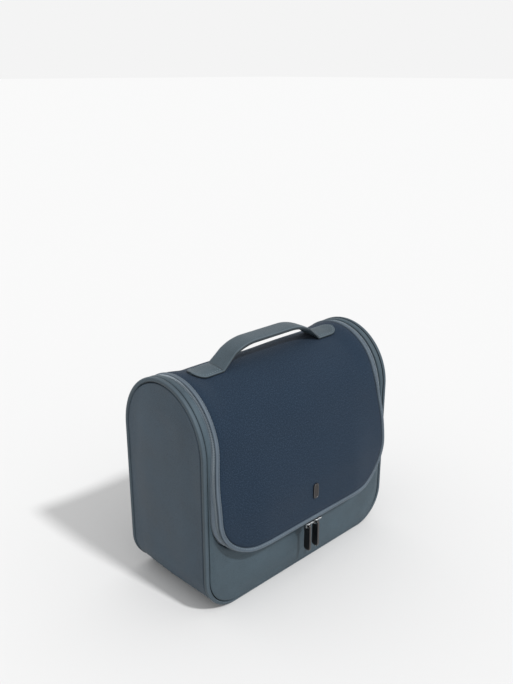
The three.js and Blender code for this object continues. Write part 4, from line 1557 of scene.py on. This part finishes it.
        # Painted highlight on the raised border.
        raised = ((insets > 0.1) & (insets < 0.9)).astype(float)
        piece = make_piece("plaque", lofted(rings, wear_and_painted_light=raised[:, None]), sharp=30)
        finish_piece(piece, self.wardrobe.dark, Slot.DARK, Body.LID, "badge")

    def build(self) -> None:
        """Build and dress every piece of the lid."""
        self.build_panel()
        self.build_binding()
        self.build_inside()
        self.build_plaque()


# ---- The hinge ---------------------------------------------------------------------------------


@dataclass
class Hinge:
    """Cloth that joins the lid to the back, outside and in."""

    size: BagSize
    shape: LidShape
    wardrobe: Wardrobe
    reach: float = 7.0

    def strip(self, name: str, half: float, lift: float, thick: float) -> bpy.types.Object:
        """Build a strip across the hinge, reaching from the case to the lid.

        Args:
            name: the piece's name.
            half: half its width.
            lift: its upper face above the girth.
            thick: its thickness.

        Returns:
            The piece.
        """
        girth = self.shape.girth
        section = strip_section(thick, 0.3, 0.2, 60, arc=2)
        s = np.linspace(girth.hinge - self.reach, girth.hinge + self.reach, 33)[:, None]
        x = (2 * section.share - 1) * half + section.shift + 0 * s
        s = s + 0 * x
        rings = girth.place(x, s, lift + section.lift + 0 * x)
        piece = make_piece(name, lofted(rings, np.stack([x, s], -1)))
        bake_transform(piece)
        return piece

    def build(self) -> None:
        """Build and dress the two strips."""
        half = self.shape.half_top - self.shape.reveal_top - self.shape.binding - 1.0
        outer = self.strip("hinge_cloth", half, 0.85, 0.7)
        finish_piece(outer, self.wardrobe.navy, Slot.NAVY, None)
        inner = self.strip("hinge_lining", half - 3.0, -2.2, 0.5)
        finish_piece(inner, self.wardrobe.lining, Slot.LINING, None)
        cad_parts["hinge_strip"].data.materials.clear()
        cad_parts["hinge_strip"].data.materials.append(self.wardrobe.board)


# ---- Inside the case ---------------------------------------------------------------------------


@dataclass
class Interior:
    """Linings of the main compartment, and the gathered pocket on its back wall."""

    case: Case
    wardrobe: Wardrobe
    corner: float = 34.0
    pleat: float = 9.0
    gather_depth: float = 0.55
    ruche: float = 3.4

    def upright(self, name: str, node: str, facing: float) -> None:
        """Build an upright lining with rounded lower corners in the place of its node.

        Args:
            name: the piece's name.
            node: the node that it replaces.
            facing: 1 if its seen face looks to the back, -1 if to the front.
        """
        low, high = corners(node)
        half = (high[0] - low[0]) / 2
        turn = np.linspace(0.03, QUARTER, 20)
        straight = np.linspace(low[2] + self.corner, high[2], 40)[1:]
        z = np.concatenate([low[2] + self.corner * (1 - np.cos(turn)), straight])
        pinch = np.concatenate([self.corner * (1 - np.sin(turn)), 0 * straight])
        section = strip_section(high[1] - low[1], 0.2, 0.2, 50, arc=2)
        wide = (half - pinch)[:, None]
        x = (2 * section.share - 1) * wide + section.shift
        z = z[:, None] + 0 * x
        off = np.minimum(wide - np.abs(x), z - low[2])
        wave = puckered(x, z, 0.25, 50.0) * smooth(off, 0, 10)
        face = high[1] if facing > 0 else low[1]
        y = face + facing * (section.lift + wave)
        piece = make_piece(name, lofted(np.stack([x, y, z], -1), np.stack([x, z], -1)))
        finish_piece(piece, self.wardrobe.lining, Slot.LINING, Body.CASE, node)

    def build_pocket(self) -> None:
        """Build the pocket: a bag of net gathered at its mouth, closed at its sides and foot."""
        low, high = corners("inner_pocket")
        half = (high[0] - low[0]) / 2
        depth = high[1] - low[1]
        z = np.linspace(low[2], high[2] - 1.0, 46)[:, None]
        section = strip_section(LINING_THICK, 0.2, 0.2, 160, arc=2)
        x = (2 * section.share - 1) * half + section.shift + 0 * z
        up = (z - low[2]) / (high[2] - low[2])
        off = half - np.abs(x)
        full = smooth(off, 0.0, 7.0) * smooth(up, 0.0, 0.1)
        belly = mix(0.82, 1.0, np.sin(np.pi * np.clip(up, 0, 1)) ** 0.7)
        gather = np.cos(2 * np.pi * x / self.pleat + 0.6 * np.sin(x / 17.0)) * smooth(up, 0.35, 1.0)
        front = high[1] - depth * full * belly
        y = front + self.gather_depth * (1 - gather) * full - section.lift
        z = z + 0 * x
        rings = np.stack([x, np.minimum(y, high[1]), z], axis=-1)
        piece = make_piece("inner_pocket_net", lofted(rings, np.stack([x, z], -1)))
        finish_piece(piece, self.wardrobe.mesh, Slot.MESH, Body.CASE, "inner_pocket")

    def build_elastic(self) -> None:
        """Build the elastic along the pocket's mouth: a thick band ruched by the cloth it gathers."""
        low, high = corners("inner_pocket_elastic")
        half = (high[0] - low[0]) / 2
        x = np.linspace(-half, half, 240)[:, None]
        thick = high[1] - low[1]
        tall = high[2] - low[2]
        ring = roll_section((0.0, 0.0), (thick / 2, tall / 2), 3.5, 20)
        ruche = 0.84 + 0.16 * np.cos(2 * np.pi * x / self.ruche + 0.5 * np.sin(x / 7.0))
        y = (low[1] + high[1]) / 2 + ring[None, :, 0] * ruche
        z = (low[2] + high[2]) / 2 + ring[None, :, 1] * mix(0.97, 1.0, ruche)
        x = x + 0 * y
        surface = lofted(np.stack([x, y, z], -1), np.stack([x, z], -1))
        piece = make_piece("inner_pocket_elastic_ruched", surface)
        finish_piece(piece, self.wardrobe.elastic, Slot.ELASTIC, Body.CASE, "inner_pocket_elastic")

    def build(self) -> None:
        """Build and dress every piece inside the case."""
        case = self.case
        for name, side in SIDES.items():
            low, high = corners(f"lining_{name}")
            inset = case.size.half_width - max(abs(low[0]), abs(high[0]))
            edge = case.size.half_depth - high[1]
            wall = case.side_wall(f"lining_cloth_{name}", side, edge, inset, LINING_THICK, 0.0, -0.3)
            finish_piece(wall, self.wardrobe.lining, Slot.LINING, Body.CASE, f"lining_{name}")
        self.upright("lining_cloth_back", "lining_back", -1.0)
        self.upright("lining_cloth_front", "lining_front", 1.0)
        low, high = corners("lining_base")
        base = flat_panel("lining_cloth_base", low, high, 0.2, 0.1)
        finish_piece(base, self.wardrobe.lining, Slot.LINING, Body.CASE, "lining_base")
        self.build_pocket()
        self.build_elastic()
        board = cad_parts["base_board"].data.materials
        board.clear()
        board.append(self.wardrobe.board)


# ---- The handle --------------------------------------------------------------------------------


@dataclass
class Handle:
    """The carry handle: one strap that rises from two sewn feet on the lid."""

    size: BagSize
    girth: Girth
    shape: LidShape
    wardrobe: Wardrobe
    rise: float = 13.5
    flat_half: float = 25.0
    foot: float = 67.0
    strap_thick: float = 3.8
    foot_thick: float = 2.0
    nose: float = 12.5
    split: float = 52.0
    bend_from: float = 3.0
    bend_to: float = 10.5
    seam: float = 2.3
    seam_back: float = 2.0

    def lift(self, x: np.ndarray) -> np.ndarray:
        """Height of the strap's underside above the crest."""
        t = np.clip((self.foot - np.abs(x)) / (self.foot - self.flat_half), 0, 1)
        return self.rise * np.sin(np.pi / 2 * t)

    def build(self) -> None:
        """Build and dress the strap and its stitches."""
        _, end = corners("handle_tab_right")
        strap_low, strap_high = corners("handle_strap")
        middle = (strap_low[1] + strap_high[1]) / 2
        end_x = end[0] + 0.2
        narrow = (strap_high[1] - strap_low[1]) / 2
        wide = end[1] - middle
        turn = np.linspace(0, QUARTER, 12)[:-1]
        arm = np.linspace(0, end_x - self.nose, 90)
        half_x = np.concatenate([arm, end_x - self.nose + self.nose * np.sin(turn[1:])])
        x = np.concatenate([-half_x[:0:-1], half_x])[:, None]
        far = np.abs(x)
        nose = np.clip((far - end_x + self.nose) / self.nose, 0, 0.985)
        half = mix(narrow, wide, smooth(far, self.split + self.nose / 2, self.foot))
        half = half * np.sqrt(1 - nose * nose)
        thick = mix(self.strap_thick, self.foot_thick, smooth(far, self.split - 12, self.foot))
        ring = roll_section((0.0, 0.5), (1.0, 0.5), 5.0, 56)
        crown = 0.22 * (1 - ring[None, :, 0] ** 2) * (ring[None, :, 1] > 0.5)
        reach = middle + ring[None, :, 0] * half
        height = GAP * smooth(far, self.split, self.foot) + (ring[None, :, 1] + crown * 0.8) * thick
        lift = self.lift(x)
        sag = self.shape.sag(x, self.girth.crest + reach)
        round_it = self.girth.place(x + 0 * reach, self.girth.crest + reach, lift + height - sag)
        flatness = np.clip(lift / self.lift(np.array([[self.split]])), 0, 1)
        flatness = np.where(far < self.split, 1.0, flatness)
        y = mix(round_it[..., 1], reach, flatness)
        z = mix(round_it[..., 2], self.size.height + lift + height, flatness)
        rings = np.stack([x + 0 * y, y, z], axis=-1)
        rim = np.abs(ring[:, 0])
        wear_and_painted_light = smooth(rim, 0.8, 0.93) * smooth(-rim, -0.98, -0.94) * (ring[:, 1] > 0.45) * 0.7
        # Painted shade in the crease where the strap lifts from its foot.
        crease = np.exp(-(((far - self.foot - 1.0) / 0.8) ** 2)) * (ring[:, 1] > 0.45)
        # The side faces are darkened: dark edge paint with painted shade.
        wear_and_painted_light = wear_and_painted_light - 0.75 * smooth(rim, 0.965, 0.99) - 0.8 * crease
        piece = make_piece("carry_handle", lofted(rings, wear_and_painted_light=np.clip(wear_and_painted_light, -1, 1)))
        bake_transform(piece)
        nodes = ("handle_strap", "handle_tab_left", "handle_tab_right")
        finish_piece(piece, self.wardrobe.handle, Slot.HANDLE, None, *nodes)
        self.build_stitches(end_x, wide, middle)

    def build_stitches(self, end_x: float, wide: float, middle: float) -> None:
        """Build the stitches round each foot, along its rounded nose and across where the strap lifts."""
        turn = np.linspace(-QUARTER, QUARTER, 40)
        back_x = self.foot + self.seam_back
        nose_x = end_x - self.nose + (self.nose - self.seam) * np.cos(turn)
        nose_y = (wide - self.seam) * np.sin(turn)
        back_y = wide - self.seam - 1.2
        x = np.concatenate([[back_x], nose_x, [back_x, back_x + 4.0, back_x]])
        y = np.concatenate([[-back_y], nose_y, [back_y, 0.0, -back_y]])
        steps = np.linspace(0, len(x) - 1, 300)
        x = np.interp(steps, np.arange(len(x)), x)
        y = np.interp(steps, np.arange(len(y)), y)
        s = self.girth.crest + middle + y
        lift = self.lift(x) + GAP + self.foot_thick + 0.22 - self.shape.sag(x, s)
        for name, side in SIDES.items():
            points = self.girth.place(side * x, s, lift)
            stitches = stitch_row(points, self.girth.normal(s), 2.9, 1.9, 0.6)
            sewn = make_piece(f"handle_stitches_{name}", stitches)
            finish_piece(sewn, self.wardrobe.thread, Slot.HANDLE, Body.LID)


# ---- Sliders and pulls -------------------------------------------------------------------------


@dataclass
class Sliders:
    """Two zip sliders, each with a wire bail and a flat pull."""

    wardrobe: Wardrobe
    slider_round: float = 0.55
    wire: float = 0.45
    bevel: float = 0.45
    eye: float = 4.0
    eye_bar: float = 1.5

    def plate(self, name: str, low: np.ndarray, high: np.ndarray) -> bpy.types.Object:
        """Build an upright plate with an eye: a section carried round between its outline and the eye.

        Args:
            name: the piece's name.
            low: its lowest corner; its thickness lies along the first axis.
            high: its highest corner.

        Returns:
            The piece.
        """
        turn = around(72)
        middle = (low + high) / 2
        half = (high - low) / 2
        rise = np.stack([0 * turn, middle[2] + np.sign(np.sin(turn)) * (half[2] - half[1])], -1)
        outer = half[1] * squarish(turn, 3.2) + rise
        eye = self.eye / 2
        inner = eye * squarish(turn, 3) + np.array([0.0, high[2] - self.eye_bar - eye])
        width = np.linalg.norm(inner - outer, axis=-1)[:, None]
        section = strip_section(2 * half[0], self.bevel, self.bevel, 10, arc=3)
        share = section.share + section.shift / width
        flat = outer[:, None] + (inner - outer)[:, None] * share[..., None]
        x = middle[0] + half[0] + section.lift + 0 * share
        rings = np.stack([x, middle[1] + flat[..., 0], flat[..., 1]], -1)
        # Painted highlight on the plate's rounded edges.
        return make_piece(name, lofted(rings, wear_and_painted_light=section.wear_and_painted_light, loop=True), sharp=35)

    def build_slider(self, name: str) -> None:
        """Build a slider body: a shield-shaped plate with rounded edges under the teeth."""
        node = f"slider_{name}"
        low, high = corners(node)
        middle = (low + high) / 2
        half = (high - low) / 2
        thick = high[2] - low[2]
        edge = self.slider_round
        drop = np.linspace(0, QUARTER, 5)
        inset = np.concatenate([[half.min() * 0.9, half.min() * 0.5], edge * (1 - np.sin(drop))])
        level = np.concatenate([[0.0, 0.0], edge * (1 - np.cos(drop))])
        inset = np.concatenate([inset, inset[::-1]])
        level = np.concatenate([level, thick - level[::-1]])
        u, v = squarish(around(64), 3.2).T
        waist = 1 - 0.12 * np.cos(np.pi * np.clip(u * 1.2, -1, 1)) * np.abs(v)
        x = middle[0] + u[None] * (half[0] - inset)[:, None]
        y = middle[1] + (v * waist)[None] * (half[1] - inset)[:, None]
        z = low[2] + level[:, None] + 0 * x
        # Painted highlight on the body's rounded edges.
        wear_and_painted_light = ((inset > 0) & (inset < edge)).astype(float)[:, None]
        piece = make_piece(f"slider_body_{name}", lofted(np.stack([x, y, z], -1), wear_and_painted_light=wear_and_painted_light), sharp=35)
        finish_piece(piece, self.wardrobe.bright, Slot.BRIGHT, node, node)

    def build_bail(self, name: str) -> None:
        """Build a bail: a flattened wire carried round a rounded window."""
        node = f"slider_bail_{name}"
        low, high = corners(node)
        middle = (low + high) / 2
        half = (high - low) / 2
        outline = squarish(around(64), 5.0)
        ring = roll_section((0.0, 0.0), (self.wire, half[1]), 3.0, 16)
        reach_x = (half[0] - self.wire + ring[None, :, 0]) * outline[:, 0:1]
        reach_z = (half[2] - self.wire + ring[None, :, 0]) * outline[:, 1:2]
        y = middle[1] + ring[None, :, 1] + 0 * reach_x
        rings = np.stack([middle[0] + reach_x, y, middle[2] + reach_z], -1)
        piece = make_piece(f"slider_loop_{name}", lofted(rings, loop=True))
        finish_piece(piece, self.wardrobe.bright, Slot.BRIGHT, f"slider_{name}", node)

    def build_pull(self, name: str) -> None:
        """Build a pull: a long flat plate with rounded ends and an eye at its top."""
        node = f"pull_{name}"
        piece = self.plate(f"pull_plate_{name}", *corners(node))
        finish_piece(piece, self.wardrobe.dark, Slot.DARK, node, node)

    def build(self) -> None:
        """Build and dress both sliders."""
        for name in SIDES:
            self.build_slider(name)
            self.build_bail(name)
            self.build_pull(name)


# ---- Studio ------------------------------------------------------------------------------------


@dataclass
class Studio:
    """Floor, lights and camera."""

    azimuth: float = -44.056
    pitch: float = 19.682
    lens: float = 40.126
    sensor: float = 36.0
    spot: tuple[float, float, float] = (-0.50659, -0.51355, 0.48834)
    backdrop: float = 0.905
    floor_tone: float = 0.64
    sun_power: float = 2.45
    sun_angle: float = 5.0
    sun_from: tuple[float, float, float] = (0.07, -0.66, 0.745)

    def build_floor(self) -> None:
        """Build a wide level floor with a plain matt surface."""
        reach = 40.0
        mesh = bpy.data.meshes.new("studio_floor")
        edge = [(-reach, -reach, 0), (reach, -reach, 0), (reach, reach, 0), (-reach, reach, 0)]
        mesh.from_pydata(edge, [], [(0, 1, 2, 3)])
        floor = bpy.data.objects.new("studio_floor", mesh)
        bpy.context.scene.collection.objects.link(floor)
        material = bpy.data.materials.new("studio_floor")
        material.use_nodes = True
        shader = material.node_tree.nodes["Principled BSDF"]
        shader.inputs["Base Color"].default_value = (self.floor_tone,) * 3 + (1.0,)
        shader.inputs["Roughness"].default_value = 1.0
        shader.inputs["Specular IOR Level"].default_value = 0.0
        mesh.materials.append(material)

    def build_lights(self) -> None:
        """Build an even pale world and one soft key light high in front."""
        world = bpy.data.worlds.new("studio")
        world.use_nodes = True
        background = world.node_tree.nodes["Background"]
        background.inputs["Color"].default_value = (self.backdrop,) * 3 + (1.0,)
        bpy.context.scene.world = world
        key = bpy.data.lights.new("key", "SUN")
        key.energy = self.sun_power
        key.angle = math.radians(self.sun_angle)
        lamp = bpy.data.objects.new("key", key)
        lamp.rotation_euler = Vector(self.sun_from).to_track_quat("Z", "Y").to_euler()
        bpy.context.scene.collection.objects.link(lamp)

    def build_camera(self) -> None:
        """Build the camera at the left of the front, looking slightly down."""
        data = bpy.data.cameras.new("camera")
        data.sensor_width = self.sensor
        data.lens = self.lens
        data.clip_end = 200.0
        camera = bpy.data.objects.new("camera", data)
        camera.location = self.spot
        camera.rotation_euler = Euler((math.radians(90 - self.pitch), 0.0, math.radians(self.azimuth)))
        bpy.context.scene.collection.objects.link(camera)
        bpy.context.scene.camera = camera

    def build(self) -> None:
        """Build the whole studio."""
        bpy.context.scene.view_settings.view_transform = "Standard"
        self.build_floor()
        self.build_lights()
        self.build_camera()


def main() -> None:
    """Build the studio and the bag, sub-assembly by sub-assembly."""
    Studio().build()
    size = BagSize.from_frame()
    girth = Girth(size)
    shape = LidShape(size, girth)
    line = ZipLine(shape)
    wardrobe = Wardrobe()
    case = Case(size, girth, line, wardrobe)
    case.build()
    Zip(line, wardrobe).build()
    Lid(shape, line, wardrobe).build()
    Hinge(size, shape, wardrobe).build()
    Interior(case, wardrobe).build()
    Handle(size, girth, shape, wardrobe).build()
    Sliders(wardrobe).build()


if __name__ == "__main__":
    main()
